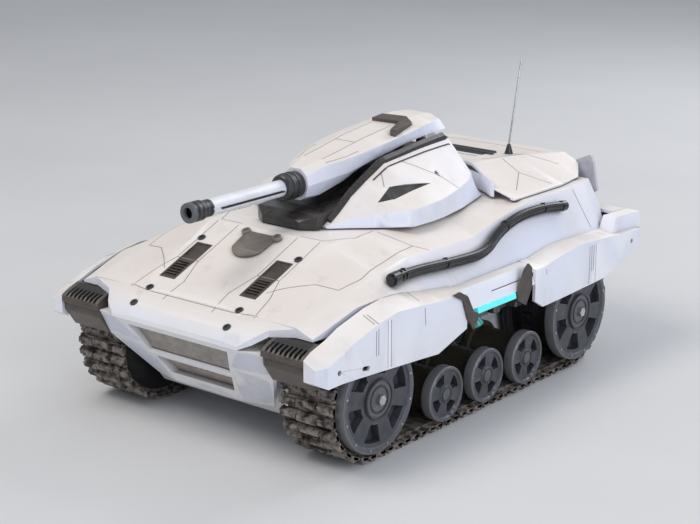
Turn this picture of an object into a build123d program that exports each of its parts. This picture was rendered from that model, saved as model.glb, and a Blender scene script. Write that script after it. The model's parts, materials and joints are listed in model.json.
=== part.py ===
from build123d import *
from math import acos, atan2, cos, degrees, hypot, pi, radians, sin, sqrt
import os

os.makedirs("parts", exist_ok=True)

# Radio controlled tank.  Millimetres, +Z up, the front faces -Y and the vehicle's left is +X.
# The origin is on the ground, midway along and across the vehicle.

# ---- driving dimensions ----
HALF_WIDTH = 134.0          # outer face of the fender skirts
WALL = 2.5                  # moulded shell thickness
SEAM_Z = 98.0               # joint between the lower and the upper hull
DECK_Z = 139.5              # flat deck under the turret
RUN = 0.06                  # radial clearance of every shaft in its bore

TRACK_INNER_X = 78.0
TRACK_OUTER_X = 125.0
AXLE_Z = 47.0               # drive and idler axle height
FRONT_AXLE_Y = -140.5
REAR_AXLE_Y = 120.5
BELT_INNER_R = 40.0         # belt's inner radius around the end wheels
BELT_T = 2.2
TRACK_T = 7.0               # belt and link together
LINKS = 80                  # links in each track

BIG_WHEEL_R = 39.7
ROAD_WHEEL_R = 20.8
ROAD_WHEEL_Z = 28.0
ROAD_WHEEL_Y = (-60.8, -8.2, 45.3)
WHEEL_FACE_X = 129.4        # outer face of every wheel disc
AXLE_R = 3.0
STUB_R = 2.5

HULL_X = 74.0               # lower hull half width
BELLY_Z = 18.0              # ground clearance
ARM_DY = 22.0               # road wheel behind its arm's pivot
ARM_DZ = 12.0               # and below it

GEAR_MODULE = 1.0
AXLE_TEETH = 36
PINION_TEETH = 12
RING_TEETH = 60
GEAR_T = 6.0
GEAR_X = 58.0               # inner face of the axle gears
PRESSURE_ANGLE = radians(20)
BACKLASH = 0.25

MOTOR_R = 10.0
MOTOR_L = 25.0
MOTOR_SHAFT_R = 1.0

TURRET_Y = -5.0             # traverse axis
TRAVERSE_MOTOR_Y = TURRET_Y + GEAR_MODULE * (RING_TEETH + PINION_TEETH) / 2
SHELF_Z = 121.0
TURRET_BASE_Z = DECK_Z + 1.2
SWEEP_R = 107.0             # circle that the turret sweeps over the deck
RING_BORE_R = 34.0          # opening in the deck

GUN_Z = 169.0               # barrel axis
TRUNNION_Y = 62.0
TRUNNION_Z = 186.0
BARREL_R = 6.3
MUZZLE_Y = -193.0

# ---- helpers ----


def both_sides(right_half):
    """Full outline from its right half, given from the top down to the bottom."""
    return list(right_half) + [(-x, z) for x, z in reversed(right_half)]


def gear_outline(teeth, phase=0.0):
    """Involute spur gear outline, with one tooth centred at the angle phase."""
    pitch_r = GEAR_MODULE * teeth / 2
    base_r = pitch_r * cos(PRESSURE_ANGLE)
    tip_r = pitch_r + 0.85 * GEAR_MODULE
    root_r = pitch_r - 1.15 * GEAR_MODULE
    start_r = max(base_r, root_r)
    half_tooth = pi / (2 * teeth) - BACKLASH / (2 * pitch_r)

    def involute(r):
        return sqrt(max((r / base_r) ** 2 - 1, 0)) - acos(min(base_r / r, 1))

    steps = 3
    flank = [(root_r, half_tooth + involute(pitch_r) - involute(start_r))]
    for i in range(steps + 1):
        r = start_r + (tip_r - start_r) * i / steps
        flank.append((r, half_tooth + involute(pitch_r) - involute(r)))
    points = []
    for tooth in range(teeth):
        centre = phase + 2 * pi * tooth / teeth
        points += [(r * cos(centre - a), r * sin(centre - a)) for r, a in flank]
        points += [(r * cos(centre + a), r * sin(centre + a)) for r, a in reversed(flank)]
    return points


def finish(name, label):
    """Label a finished sub-part and write it."""
    name.part.label = label
    export_step(name.part, f"parts/{label}.step")


def mirror_piece(name, label):
    """Write the right-hand twin of a left-hand sub-part."""
    with BuildPart() as twin:
        mirror(name.part, about=Plane.YZ, mode=Mode.ADD)
    finish(twin, label)


def side_plane(x):
    """Sketch plane across the vehicle at x, whose local axes are Y and Z."""
    return Plane.YZ.offset(x)


def cross_plane(y):
    """Sketch plane at y, whose local axes are X and Z."""
    return Plane.XZ.offset(-y)


# ---- hull shape: the half section at each station along the vehicle ----
# Each row is y, deck edge (x, z), upper crease (x, z), lower crease (x, z).
HULL = [
    (-191, (50, 105.5), (97, 105), (112, 99.5)),
    (-148, (55, 123), (100, 116), (115, 112.5)),
    (-109, (58, DECK_Z), (102, 124.5), (118, 114.5)),
    (-70, (62, DECK_Z), (100, 129), (118, 107)),
    (-23, (66, DECK_Z), (100, 127), (118, 102)),
    (12, (66, DECK_Z), (100, 127), (118, 101.5)),
    (40, (66, DECK_Z), (100, 134), (118, 101.5)),
    (87, (70, DECK_Z), (100, 141), (118, 108)),
    (166, (70, DECK_Z), (98, 141), (118, 105)),
    (188, (70, DECK_Z), (92, 139), (112, 104)),
]

# The nose in front of it: y, half width, top z, bottom z.
NOSE = [(-191, 97, 105.2, SEAM_Z), (-197, 78, 102, 96), (-206, 70, 96.5, 90.5), (-211, 61, 90, 86.5)]
NOSE_CROWN = 0.72           # share of the nose's width that is flat


def hull_at(y, column):
    """One point column of the hull outline at y, straight between stations."""
    for (y0, *row0), (y1, *row1) in zip(HULL, HULL[1:]):
        if y0 <= y <= y1:
            t = (y - y0) / (y1 - y0)
            (xa, za), (xb, zb) = row0[column], row1[column]
            return xa + t * (xb - xa), za + t * (zb - za)
    return None


def band_point(y, along, proud):
    """Point on the hull's side band: along 0 is the upper crease, 1 the lower one."""
    (xa, za), (xb, zb) = hull_at(y, 1), hull_at(y, 2)
    length = hypot(xb - xa, zb - za)
    nx, nz = (za - zb) / length, (xb - xa) / length
    return xa + along * (xb - xa) + proud * nx, y, za + along * (zb - za) + proud * nz


# ---- details set into the glacis ----
GLACIS_SLOPE = atan2(DECK_Z - 105.5, 191 - 109)
GLACIS = Plane(origin=(0, -156, 120.2), x_dir=(1, 0, 0), z_dir=(0, -sin(GLACIS_SLOPE), cos(GLACIS_SLOPE)))
VENT_X, VENT_SIZE = 39.4, (15.5, 44)
CAP_R = 3.0
CAPS = [(43.8, -188.9, 106), (47.5, -130.5, 130.3)]     # left-hand screw caps, on the glacis
LIP_CAP = (45.5, -203.5, 97.6)                          # and on the nose, which slopes more
LIP_SLOPE = atan2(5.5, 9)
LIP_PLANE = Plane(origin=LIP_CAP, x_dir=(1, 0, 0), z_dir=(0, -sin(LIP_SLOPE), cos(LIP_SLOPE)))


def cap_planes():
    """Sketch planes of the left-hand screw caps, level with the surface they are set in."""
    return [Plane(origin=at, x_dir=(1, 0, 0), z_dir=GLACIS.z_dir) for at in CAPS] + [LIP_PLANE]


# ---- upper hull: glacis, deck and side bands, with a floor over the tracks ----
with BuildPart() as upper_hull:
    for y, deck, crease, shoulder in HULL:
        with BuildSketch(cross_plane(y)):
            Polygon(*both_sides([deck, crease, shoulder, (shoulder[0], SEAM_Z)]), align=None)
    loft(ruled=True)
    # hollow, one wall inside every face
    for y, deck, crease, shoulder in HULL:
        y_in = y + WALL if y == HULL[0][0] else y - WALL if y == HULL[-1][0] else y
        with BuildSketch(cross_plane(y_in)):
            corners = [
                (deck[0] - 1, deck[1] - WALL),
                (crease[0] - WALL, crease[1] - WALL),
                (shoulder[0] - WALL, max(shoulder[1] - WALL, SEAM_Z + WALL)),
                (shoulder[0] - WALL, SEAM_Z + WALL - 0.4),
            ]
            Polygon(*both_sides(corners), align=None)
    loft(ruled=True, mode=Mode.SUBTRACT)
    # nose: the glacis runs on to a narrow lip
    for y, half, top, low in NOSE:
        with BuildSketch(cross_plane(y)):
            Polygon(*both_sides([(half * NOSE_CROWN, top), (half, top - 1.2), (half, low)]), align=None)
    loft(ruled=True)
    # opening over the lower hull
    with BuildSketch(Plane.XY.offset(SEAM_Z - 1)):
        with Locations((0, 0)):
            Rectangle(2 * (HULL_X - 2), 344)
    extrude(amount=WALL + 4, mode=Mode.SUBTRACT)
    # turret ring opening
    with BuildSketch(Plane.XY.offset(DECK_Z - 10)):
        with Locations((0, TURRET_Y)):
            Circle(RING_BORE_R)
    extrude(amount=20, mode=Mode.SUBTRACT)
    # openings of the vents and the screw caps in the glacis
    with BuildSketch(GLACIS.offset(6)):
        with Locations((VENT_X, 0), (-VENT_X, 0)):
            Rectangle(*VENT_SIZE)
    extrude(amount=-13, mode=Mode.SUBTRACT)
    for plane in cap_planes():
        for side in (1, -1):
            corner = (side * plane.origin.X, plane.origin.Y, plane.origin.Z)
            at = Plane(origin=corner, x_dir=(1, 0, 0), z_dir=plane.z_dir)
            with BuildSketch(at.offset(4)):
                Circle(CAP_R + 0.1)
            extrude(amount=-6.5, mode=Mode.SUBTRACT)
    # rear bumper
    with BuildSketch(side_plane(-118)):
        Polygon((186, SEAM_Z), (186, 116), (205, 114.5), (208.5, 108), (206, SEAM_Z), align=None)
    extrude(amount=236)
    with BuildSketch(side_plane(-115)):
        Polygon((183, SEAM_Z + 2), (183, 113.5), (203.5, 112), (206, 107.5), (204, SEAM_Z + 2), align=None)
    extrude(amount=230, mode=Mode.SUBTRACT)
    # shelf that hangs under the deck and holds the traverse motor
    with BuildSketch(Plane.XY.offset(SHELF_Z)):
        with Locations((0, TRAVERSE_MOTOR_Y)):
            Rectangle(34, 26)
            Circle(MOTOR_SHAFT_R + 1.5, mode=Mode.SUBTRACT)
    extrude(amount=2)
    with BuildSketch(Plane.XY.offset(SHELF_Z)):
        with Locations((-17, TRAVERSE_MOTOR_Y + 12), (17, TRAVERSE_MOTOR_Y + 12)):
            Rectangle(4, 4)
    extrude(amount=DECK_Z - WALL - SHELF_Z)
finish(upper_hull, "upper_hull")

# ---- front fenders: a ledge and an outer skirt over the track, open below ----
# Each row is y, inner ledge edge (x, z), outer ledge edge (x, z), skirt bottom z.
FRONT_FENDER = [
    (-208, (118.2, 91), (128, 86), 76),
    (-201, (118.2, 95), (HALF_WIDTH, 87.5), 72),
    (-186, (118.2, 99.5), (HALF_WIDTH, 92.5), 72),
    (-173, (118.2, 105), (HALF_WIDTH, 98), 71.3),
    (-145, (118.2, 112), (HALF_WIDTH, 105), 69.4),
    (-126, (118.2, 114.5), (HALF_WIDTH, 108), 68),
    (-101, (118.2, 113), (HALF_WIDTH, 106), 66.3),
    (-78, (118.2, 109), (HALF_WIDTH, 104), 64.5),
    (-43.5, (118.2, 104.5), (HALF_WIDTH, 102), 75),
]
REAR_FENDER = [
    (46.5, (118.2, 104), (HALF_WIDTH, 99), 74),
    (58, (118.2, 103.5), (HALF_WIDTH, 99), 67),
    (87, (118.2, 108), (HALF_WIDTH, 103.5), 67.6),
    (112, (118.2, 107.5), (HALF_WIDTH, 106), 68.4),
    (148, (118.2, 106), (HALF_WIDTH, 103.3), 69.7),
    (174, (118.2, 105), (HALF_WIDTH, 101.3), 76.5),
    (199.5, (118.2, 104), (HALF_WIDTH, 100), 84.8),
    (210.5, (118.2, 103), (131, 98.8), 97),
]


def fender_sections(stations, inset):
    """Faces across the fender at its stations, drawn in by inset on the outer side and top."""
    faces = []
    for y, (xi, zi), (xo, zo), bottom in stations:
        low = bottom if inset == 0 else bottom - 4
        with BuildSketch(cross_plane(y)) as across:
            Polygon((xi, low), (xo - inset, low), (xo - inset, zo - inset), (xi, zi - inset), align=None)
        faces += across.sketch.faces()
    return faces


def trimmed(stations, ends):
    """The same stations with the first and last drawn in along the vehicle by ends."""
    first, last = stations[0], stations[-1]
    return [(first[0] + ends[0], *first[1:])] + stations[1:-1] + [(last[0] - ends[1], *last[1:])]


def skirt_lines(line_y, line_z):
    """Rectangles of the double panel line engraved in the skirt's outer face."""
    with BuildSketch(side_plane(HALF_WIDTH - 0.5)) as lines:
        for y in line_y:
            with Locations((y, sum(line_z) / 2)):
                Rectangle(0.7, line_z[1] - line_z[0])
    return lines.sketch


with BuildPart() as left_front_fender:
    loft(fender_sections(FRONT_FENDER, 0), ruled=True)
    loft(fender_sections(trimmed(FRONT_FENDER, (6, -1)), WALL), ruled=True, mode=Mode.SUBTRACT)
    extrude(skirt_lines((-137, -133.5), (70, 104)), amount=1, mode=Mode.SUBTRACT)
    with BuildSketch(side_plane(HALF_WIDTH - WALL - 1)):
        with Locations((-189.4, 80.6)):
            Circle(1.9)
        with Locations((-161, 76.2)):
            SlotOverall(8, 3.2, rotation=-8)
    extrude(amount=WALL + 3, mode=Mode.SUBTRACT)
finish(left_front_fender, "left_front_fender")
mirror_piece(left_front_fender, "right_front_fender")

with BuildPart() as left_rear_fender:
    loft(fender_sections(REAR_FENDER, 0), ruled=True)
    loft(fender_sections(trimmed(REAR_FENDER, (-1, 4)), WALL), ruled=True, mode=Mode.SUBTRACT)
    extrude(skirt_lines((125, 134.5), (70, 101)), amount=1, mode=Mode.SUBTRACT)
    # raised block at the rear corner
    with BuildSketch(side_plane(118.2)):
        Polygon((161, 100), (170, 115.5), (207, 114), (210, 100), (174, 100), align=None)
    extrude(amount=12.3)
    with BuildSketch(side_plane(116)):
        Polygon((174, 96), (176, 102), (204, 101), (207, 96), align=None)
    extrude(amount=12.5, mode=Mode.SUBTRACT)
    with BuildSketch(side_plane(HALF_WIDTH - WALL - 1)):
        with Locations((190.7, 92)):
            Circle(1.9)
    extrude(amount=WALL + 3, mode=Mode.SUBTRACT)
finish(left_rear_fender, "left_rear_fender")
mirror_piece(left_rear_fender, "right_rear_fender")

# ---- side panels between the fenders, with the light strip along their lower edge ----
PANEL_Y = (-43.3, 46.3)
with BuildPart() as side_panels:
    with BuildSketch(cross_plane(PANEL_Y[0])):
        Polygon(
            (118.2, 99), (118.2, 103), (126.5, 102.5), (HALF_WIDTH, 88),
            (HALF_WIDTH - WALL, 88), (125.5, 99.6), align=None,
        )
    extrude(amount=-(PANEL_Y[1] - PANEL_Y[0]))
    # engraved line along the panel
    with BuildSketch(side_plane(128)):
        with Locations((13, 94.5)):
            Rectangle(42, 0.7)
    extrude(amount=8, mode=Mode.SUBTRACT)
    mirror(about=Plane.YZ)
finish(side_panels, "side_panels")

with BuildPart() as light_strips:
    with BuildSketch(cross_plane(-31)):
        Polygon((130, 83.4), (130, 87.8), (134.4, 87.8), (135.2, 83.4), align=None)
    extrude(amount=-50)
    mirror(about=Plane.YZ)
finish(light_strips, "light_strips")

with BuildPart() as side_lamps:
    lamp_plane = Plane(origin=(129.2, -30.5, 81.5), x_dir=(0, 1, 0), z_dir=(0.3, 0.35, -0.9))
    with BuildSketch(lamp_plane):
        Circle(2.6)
    with BuildSketch(lamp_plane.offset(9)):
        Circle(5.0)
    loft()
    mirror(about=Plane.YZ)
finish(side_lamps, "side_lamps")

# ---- dark struts that cover the joints between the panels and the fenders ----
STRUT_T = 1.6
with BuildPart() as side_struts:
    with BuildSketch(side_plane(HALF_WIDTH + 0.1)):
        Polygon((-63, 104.6), (-55, 105.6), (-45, 100), (-37.5, 87), (-31.5, 84.5), (-31.5, 80),
                (-37, 72.5), (-45, 83), (-51, 98), align=None)
    extrude(amount=STRUT_T)
    with BuildSketch(side_plane(HALF_WIDTH + 0.1)):
        Polygon((28.5, 104), (34, 107.5), (38.5, 103.5), (39.5, 88), (31.5, 75), (20.5, 81), (19.5, 87),
                align=None)
    extrude(amount=STRUT_T)
    mirror(about=Plane.YZ)
finish(side_struts, "side_struts")

# ---- hoses along the side bands ----
HOSE_R = 4.2
# Each pair is y and the place across the side band, from its upper crease to its lower one.
HOSE = [(-110, 0.6), (-84, 0.42), (-30, 0.46), (8, 0.48), (34, 0.2), (62, 0.14), (92, 0.24), (120, 0.34)]
with BuildPart() as side_hoses:
    with BuildLine() as hose_path:
        Polyline(*[band_point(y, along, HOSE_R + 0.9) for y, along in HOSE])
    hose_wire = hose_path.wires()[0]
    with BuildSketch(Plane(hose_wire @ 0, z_dir=hose_wire % 0)):
        Circle(HOSE_R)
    sweep(path=hose_wire, transition=Transition.ROUND)
    mirror(about=Plane.YZ)
finish(side_hoses, "side_hoses")

# ---- headlight units in the fender fronts ----
LAMP_X = (80.2, 117.8)
with BuildPart() as headlights:
    with BuildSketch(side_plane(LAMP_X[0])):
        Polygon((-193, 97.2), (-205, 92.5), (-208, 90), (-208.5, 86), (-206, 84.5), (-205.5, 79),
                (-196.5, 66), (-190, 66), (-190, 97.2), align=None)
    extrude(amount=LAMP_X[1] - LAMP_X[0])
    # teeth of the grille along the top edge
    with BuildSketch(Plane.XY.offset(90)):
        with Locations((99, -203.5)):
            with GridLocations(4.2, 1, 8, 1):
                Rectangle(1.8, 10)
    extrude(amount=10, mode=Mode.SUBTRACT)
    mirror(about=Plane.YZ)
finish(headlights, "headlights")

# ---- lower hull: an open tub between the tracks ----
TUB = [
    (-176, SEAM_Z), (-176, 62), (-163, 38), (-148, BELLY_Z),
    (160, BELLY_Z), (176, 34), (186, 60), (186, SEAM_Z),
]
MOTOR_Y = REAR_AXLE_Y - GEAR_MODULE * (AXLE_TEETH + PINION_TEETH) / 2
BRACKET_X = GEAR_X - 4      # outer face of the motor brackets
BATTERY = (60, 92, 26)
BATTERY_Y = -8.0
HATCH = (64, 98)
SWITCH_AT = (45, 62)
SWITCH_SLOT = (5.2, 12)
BELLY_SCREWS = [(x, y) for x in (-63, 63) for y in (-120, 15, 152)]
with BuildPart() as lower_hull:
    with BuildSketch(side_plane(-HULL_X)):
        Polygon(*TUB, align=None)
    extrude(amount=2 * HULL_X)
    with BuildSketch(side_plane(-HULL_X + WALL)):
        Polygon(*TUB, align=None)
        offset(amount=-WALL, kind=Kind.INTERSECTION, mode=Mode.REPLACE)
        with Locations((5, SEAM_Z - 1)):
            Rectangle(362 - 2 * WALL, 4)
    extrude(amount=2 * (HULL_X - WALL), mode=Mode.SUBTRACT)
    # brackets that hold the motors and the inner ends of the drive axles
    for side in (1, -1):
        with BuildSketch(side_plane(side * (BRACKET_X - 1) - 1)):
            Polygon((78, BELLY_Z + 1), (140, BELLY_Z + 1), (134, 62), (84, 62), align=None)
            with Locations((MOTOR_Y, AXLE_Z)):
                Circle(MOTOR_SHAFT_R + 2, mode=Mode.SUBTRACT)
        extrude(amount=2)
    # battery hatch, switch slot and screw holes in the belly
    with BuildSketch(Plane.XY.offset(BELLY_Z - 1)):
        with Locations((0, BATTERY_Y)):
            Rectangle(*HATCH)
        with Locations(SWITCH_AT):
            Rectangle(*SWITCH_SLOT)
        with Locations(*BELLY_SCREWS):
            Circle(1.7)
    extrude(amount=WALL + 2, mode=Mode.SUBTRACT)
    with BuildSketch(side_plane(-HULL_X - 1)):
        # bearing holes of the drive axles, the idler pins and the arm pivots
        with Locations((REAR_AXLE_Y, AXLE_Z)):
            Circle(AXLE_R + RUN)
        with Locations((FRONT_AXLE_Y, AXLE_Z)):
            Circle(AXLE_R)
        for y in ROAD_WHEEL_Y:
            with Locations((y - ARM_DY, ROAD_WHEEL_Z + ARM_DZ)):
                Circle(STUB_R + RUN)
    extrude(amount=2 * HULL_X + 2, mode=Mode.SUBTRACT)
finish(lower_hull, "lower_hull")

# ---- parts inside the lower hull ----
with BuildPart() as battery_cover:
    with BuildSketch(Plane.XY.offset(BELLY_Z)):
        with Locations((0, BATTERY_Y)):
            Rectangle(HATCH[0] - 0.6, HATCH[1] - 0.6)
    extrude(amount=2)
    # finger recess
    with BuildSketch(Plane.XY.offset(BELLY_Z)):
        with Locations((0, BATTERY_Y - HATCH[1] / 2 + 9)):
            SlotOverall(22, 8)
    extrude(amount=1, mode=Mode.SUBTRACT)
finish(battery_cover, "battery_cover")

with BuildPart() as battery:
    with BuildSketch(Plane.XY.offset(BELLY_Z + WALL + 0.5)):
        with Locations((0, BATTERY_Y)):
            RectangleRounded(BATTERY[0], BATTERY[1], 4)
    extrude(amount=BATTERY[2])
    fillet(battery.edges().group_by(Axis.Z)[-1], 2)
finish(battery, "battery")

with BuildPart() as control_board:
    with BuildSketch(Plane.XY.offset(28)):
        with Locations((0, -112)):
            Rectangle(70, 52)
    extrude(amount=1.6)
    # components on the board
    with BuildSketch(Plane.XY.offset(29.6)):
        with Locations((-20, -118), (8, -100)):
            Rectangle(14, 14)
        with Locations((0, -91)):
            with GridLocations(16, 1, 4, 1):
                Rectangle(4, 6)
        with Locations((24, -122)):
            Circle(4)
    extrude(amount=2.5)
    # feet that stand on the belly
    with BuildSketch(Plane.XY.offset(BELLY_Z + WALL)):
        with Locations((0, -112)):
            with GridLocations(60, 42, 2, 2):
                Circle(2.5)
    extrude(amount=28 - BELLY_Z - WALL)
finish(control_board, "control_board")

with BuildPart() as motors:
    for side in (1, -1):
        inner = side * (BRACKET_X - 2) - (MOTOR_L if side > 0 else 0)
        with BuildSketch(side_plane(inner)):
            with Locations((MOTOR_Y, AXLE_Z)):
                Circle(MOTOR_R)
                Circle(MOTOR_SHAFT_R + RUN, mode=Mode.SUBTRACT)
        extrude(amount=MOTOR_L)
    with BuildSketch(Plane.XY.offset(SHELF_Z - MOTOR_L)):
        with Locations((0, TRAVERSE_MOTOR_Y)):
            Circle(MOTOR_R)
            Circle(MOTOR_SHAFT_R + RUN, mode=Mode.SUBTRACT)
    extrude(amount=MOTOR_L)
finish(motors, "motors")

with BuildPart() as power_switch:
    with BuildSketch(Plane.XY.offset(BELLY_Z - 1)):
        with Locations((SWITCH_AT[0], SWITCH_AT[1] - 2)):
            Rectangle(SWITCH_SLOT[0] - 0.4, SWITCH_SLOT[1] - 4.4)
    extrude(amount=5)
    # flange that keeps the slider in its slot
    with BuildSketch(Plane.XY.offset(BELLY_Z + WALL + 0.2)):
        with Locations((SWITCH_AT[0], SWITCH_AT[1] - 2)):
            Rectangle(SWITCH_SLOT[0] + 4, SWITCH_SLOT[1])
    extrude(amount=1.3)
finish(power_switch, "power_switch")

with BuildPart() as shell_screws:
    with BuildSketch(Plane.XY.offset(BELLY_Z)):
        with Locations(*BELLY_SCREWS):
            Circle(1.5)
    extrude(amount=9)
    with BuildSketch(Plane.XY.offset(BELLY_Z - 1.6)):
        with Locations(*BELLY_SCREWS):
            Circle(2.9)
    extrude(amount=1.6)
    with BuildSketch(Plane.XY.offset(BELLY_Z - 1.6)):
        with Locations(*BELLY_SCREWS):
            Rectangle(3.4, 0.7)
            Rectangle(0.7, 3.4)
    extrude(amount=0.9, mode=Mode.SUBTRACT)
finish(shell_screws, "shell_screws")

# ---- drive train: an axle with its gear on each side, and a motor pinion in mesh ----
NUT_R = 3.9
NUT_T = 3.0
with BuildPart() as left_drive_axle:
    with BuildSketch(side_plane(BRACKET_X - 6)):
        with Locations((REAR_AXLE_Y, AXLE_Z)):
            Circle(AXLE_R)
    extrude(amount=WHEEL_FACE_X + 1 - BRACKET_X + 6)
    with BuildSketch(side_plane(GEAR_X)):
        with Locations((REAR_AXLE_Y, AXLE_Z)):
            Polygon(*gear_outline(AXLE_TEETH, pi), align=None)
            Circle(AXLE_R, mode=Mode.SUBTRACT)
            with PolarLocations(11, 6):
                Circle(3, mode=Mode.SUBTRACT)
    extrude(amount=GEAR_T)
    with BuildSketch(side_plane(WHEEL_FACE_X)):
        with Locations((REAR_AXLE_Y, AXLE_Z)):
            RegularPolygon(NUT_R, 6)
    extrude(amount=NUT_T)
finish(left_drive_axle, "left_drive_axle")
mirror_piece(left_drive_axle, "right_drive_axle")

with BuildPart() as left_motor_pinion:
    with BuildSketch(side_plane(BRACKET_X - MOTOR_L)):
        with Locations((MOTOR_Y, AXLE_Z)):
            Circle(MOTOR_SHAFT_R)
    extrude(amount=GEAR_X + GEAR_T + 1 - BRACKET_X + MOTOR_L)
    with BuildSketch(side_plane(GEAR_X)):
        with Locations((MOTOR_Y, AXLE_Z)):
            Polygon(*gear_outline(PINION_TEETH, pi / PINION_TEETH), align=None)
    extrude(amount=GEAR_T)
finish(left_motor_pinion, "left_motor_pinion")
mirror_piece(left_motor_pinion, "right_motor_pinion")

with BuildPart() as idler_axles:
    with BuildSketch(side_plane(HULL_X - WALL - 2)):
        with Locations((FRONT_AXLE_Y, AXLE_Z)):
            Circle(AXLE_R)
    extrude(amount=WHEEL_FACE_X + 1 - HULL_X + WALL + 2)
    with BuildSketch(side_plane(HULL_X - WALL - 4)):
        with Locations((FRONT_AXLE_Y, AXLE_Z)):
            Circle(AXLE_R + 2)
    extrude(amount=4)
    with BuildSketch(side_plane(WHEEL_FACE_X + 0.1)):
        with Locations((FRONT_AXLE_Y, AXLE_Z)):
            RegularPolygon(NUT_R, 6)
    extrude(amount=NUT_T)
    mirror(about=Plane.YZ)
finish(idler_axles, "idler_axles")

# ---- wheels: an open disc outside, a drum and an inner disc ----
WHEEL_BACK_X = 81.0
BIG_WINDOWS = 6
ROAD_WINDOWS = 4


def wheel_plane(y, z):
    """Plane through a wheel's axis, whose local axes are X and the radius."""
    return Plane(origin=(0, y, z), x_dir=(1, 0, 0), z_dir=(0, 0, 1))


def wheel_profile(radius, drum_r, hub_r, bore_r):
    """Half section of a wheel about its axis."""
    rim = 0.11 * radius
    return [
        (WHEEL_BACK_X, bore_r), (WHEEL_BACK_X, radius), (WHEEL_BACK_X + 5, radius), (WHEEL_BACK_X + 5, drum_r),
        (119, drum_r), (121, radius - 0.6), (121.6, radius),
        (WHEEL_FACE_X - 0.6, radius), (WHEEL_FACE_X, radius - 0.6),
        (WHEEL_FACE_X, radius - rim), (WHEEL_FACE_X - 1.2, radius - rim - 0.8),
        (WHEEL_FACE_X - 1.2, hub_r + 0.8), (WHEEL_FACE_X - 0.1, hub_r), (WHEEL_FACE_X - 0.1, bore_r),
    ]


def window_outline(inner_r, outer_r, half_angle):
    """Rounded wedge between two radii, as the corner points of one wheel window."""
    steps = 4
    arc = [half_angle * (2 * i / steps - 1) for i in range(steps + 1)]
    outer = [(outer_r * cos(a), outer_r * sin(a)) for a in arc]
    inner = [(inner_r * cos(a * 0.72), inner_r * sin(a * 0.72)) for a in reversed(arc)]
    return outer + inner


with BuildPart() as left_drive_wheel:
    with BuildSketch(wheel_plane(REAR_AXLE_Y, AXLE_Z)):
        Polygon(*wheel_profile(BIG_WHEEL_R, 33.0, 13.5, AXLE_R), align=None)
    revolve(axis=Axis((0, REAR_AXLE_Y, AXLE_Z), (1, 0, 0)))
    with BuildSketch(side_plane(120.5)):
        with Locations((REAR_AXLE_Y, AXLE_Z)):
            with PolarLocations(0, BIG_WINDOWS, start_angle=18):
                Polygon(*window_outline(18.5, 32.0, radians(17)), align=None)
    extrude(amount=12, mode=Mode.SUBTRACT)
    # sprocket teeth between the discs
    with BuildSketch(side_plane(98)):
        with Locations((REAR_AXLE_Y, AXLE_Z)):
            with PolarLocations(34.6, 24):
                Rectangle(5.6, 3.4)
    extrude(amount=8)
finish(left_drive_wheel, "left_drive_wheel")
mirror_piece(left_drive_wheel, "right_drive_wheel")

with BuildPart() as left_idler_wheel:
    with BuildSketch(wheel_plane(FRONT_AXLE_Y, AXLE_Z)):
        Polygon(*wheel_profile(BIG_WHEEL_R, 33.0, 13.5, AXLE_R + RUN), align=None)
    revolve(axis=Axis((0, FRONT_AXLE_Y, AXLE_Z), (1, 0, 0)))
    with BuildSketch(side_plane(120.5)):
        with Locations((FRONT_AXLE_Y, AXLE_Z)):
            with PolarLocations(0, BIG_WINDOWS, start_angle=18):
                Polygon(*window_outline(18.5, 32.0, radians(17)), align=None)
    extrude(amount=12, mode=Mode.SUBTRACT)
finish(left_idler_wheel, "left_idler_wheel")
mirror_piece(left_idler_wheel, "right_idler_wheel")

# ---- road wheels on trailing swing arms ----
for number, wheel_y in enumerate(ROAD_WHEEL_Y, 1):
    pivot = (wheel_y - ARM_DY, ROAD_WHEEL_Z + ARM_DZ)
    with BuildPart() as left_arm:
        with BuildSketch(side_plane(HULL_X + 0.3)):
            with BuildLine():
                Polyline(pivot, (wheel_y, ROAD_WHEEL_Z))
            trace(line_width=7)
            with Locations(pivot, (wheel_y, ROAD_WHEEL_Z)):
                Circle(5)
        extrude(amount=5.5)
        with BuildSketch(side_plane(HULL_X - WALL - 4)):
            with Locations(pivot):
                Circle(STUB_R)
        extrude(amount=WALL + 4.5)
        with BuildSketch(side_plane(HULL_X + 5)):
            with Locations((wheel_y, ROAD_WHEEL_Z)):
                Circle(STUB_R)
        extrude(amount=WHEEL_FACE_X - 2 - HULL_X - 5)
    finish(left_arm, f"left_arm_{number}")
    mirror_piece(left_arm, f"right_arm_{number}")

    with BuildPart() as left_road_wheel:
        with BuildSketch(wheel_plane(wheel_y, ROAD_WHEEL_Z)):
            Polygon(*wheel_profile(ROAD_WHEEL_R, 16.5, 5.5, STUB_R + RUN), align=None)
        revolve(axis=Axis((0, wheel_y, ROAD_WHEEL_Z), (1, 0, 0)))
        with BuildSketch(side_plane(120.5)):
            with Locations((wheel_y, ROAD_WHEEL_Z)):
                with PolarLocations(0, ROAD_WINDOWS, start_angle=30):
                    Polygon(*window_outline(8.2, 15.6, radians(23)), align=None)
        extrude(amount=12, mode=Mode.SUBTRACT)
        # hub cap over the end of the stub
        with BuildSketch(side_plane(WHEEL_FACE_X - 1.6)):
            with Locations((wheel_y, ROAD_WHEEL_Z)):
                Circle(4.4)
        extrude(amount=1.6)
    finish(left_road_wheel, f"left_road_wheel_{number}")
    mirror_piece(left_road_wheel, f"right_road_wheel_{number}")

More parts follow.
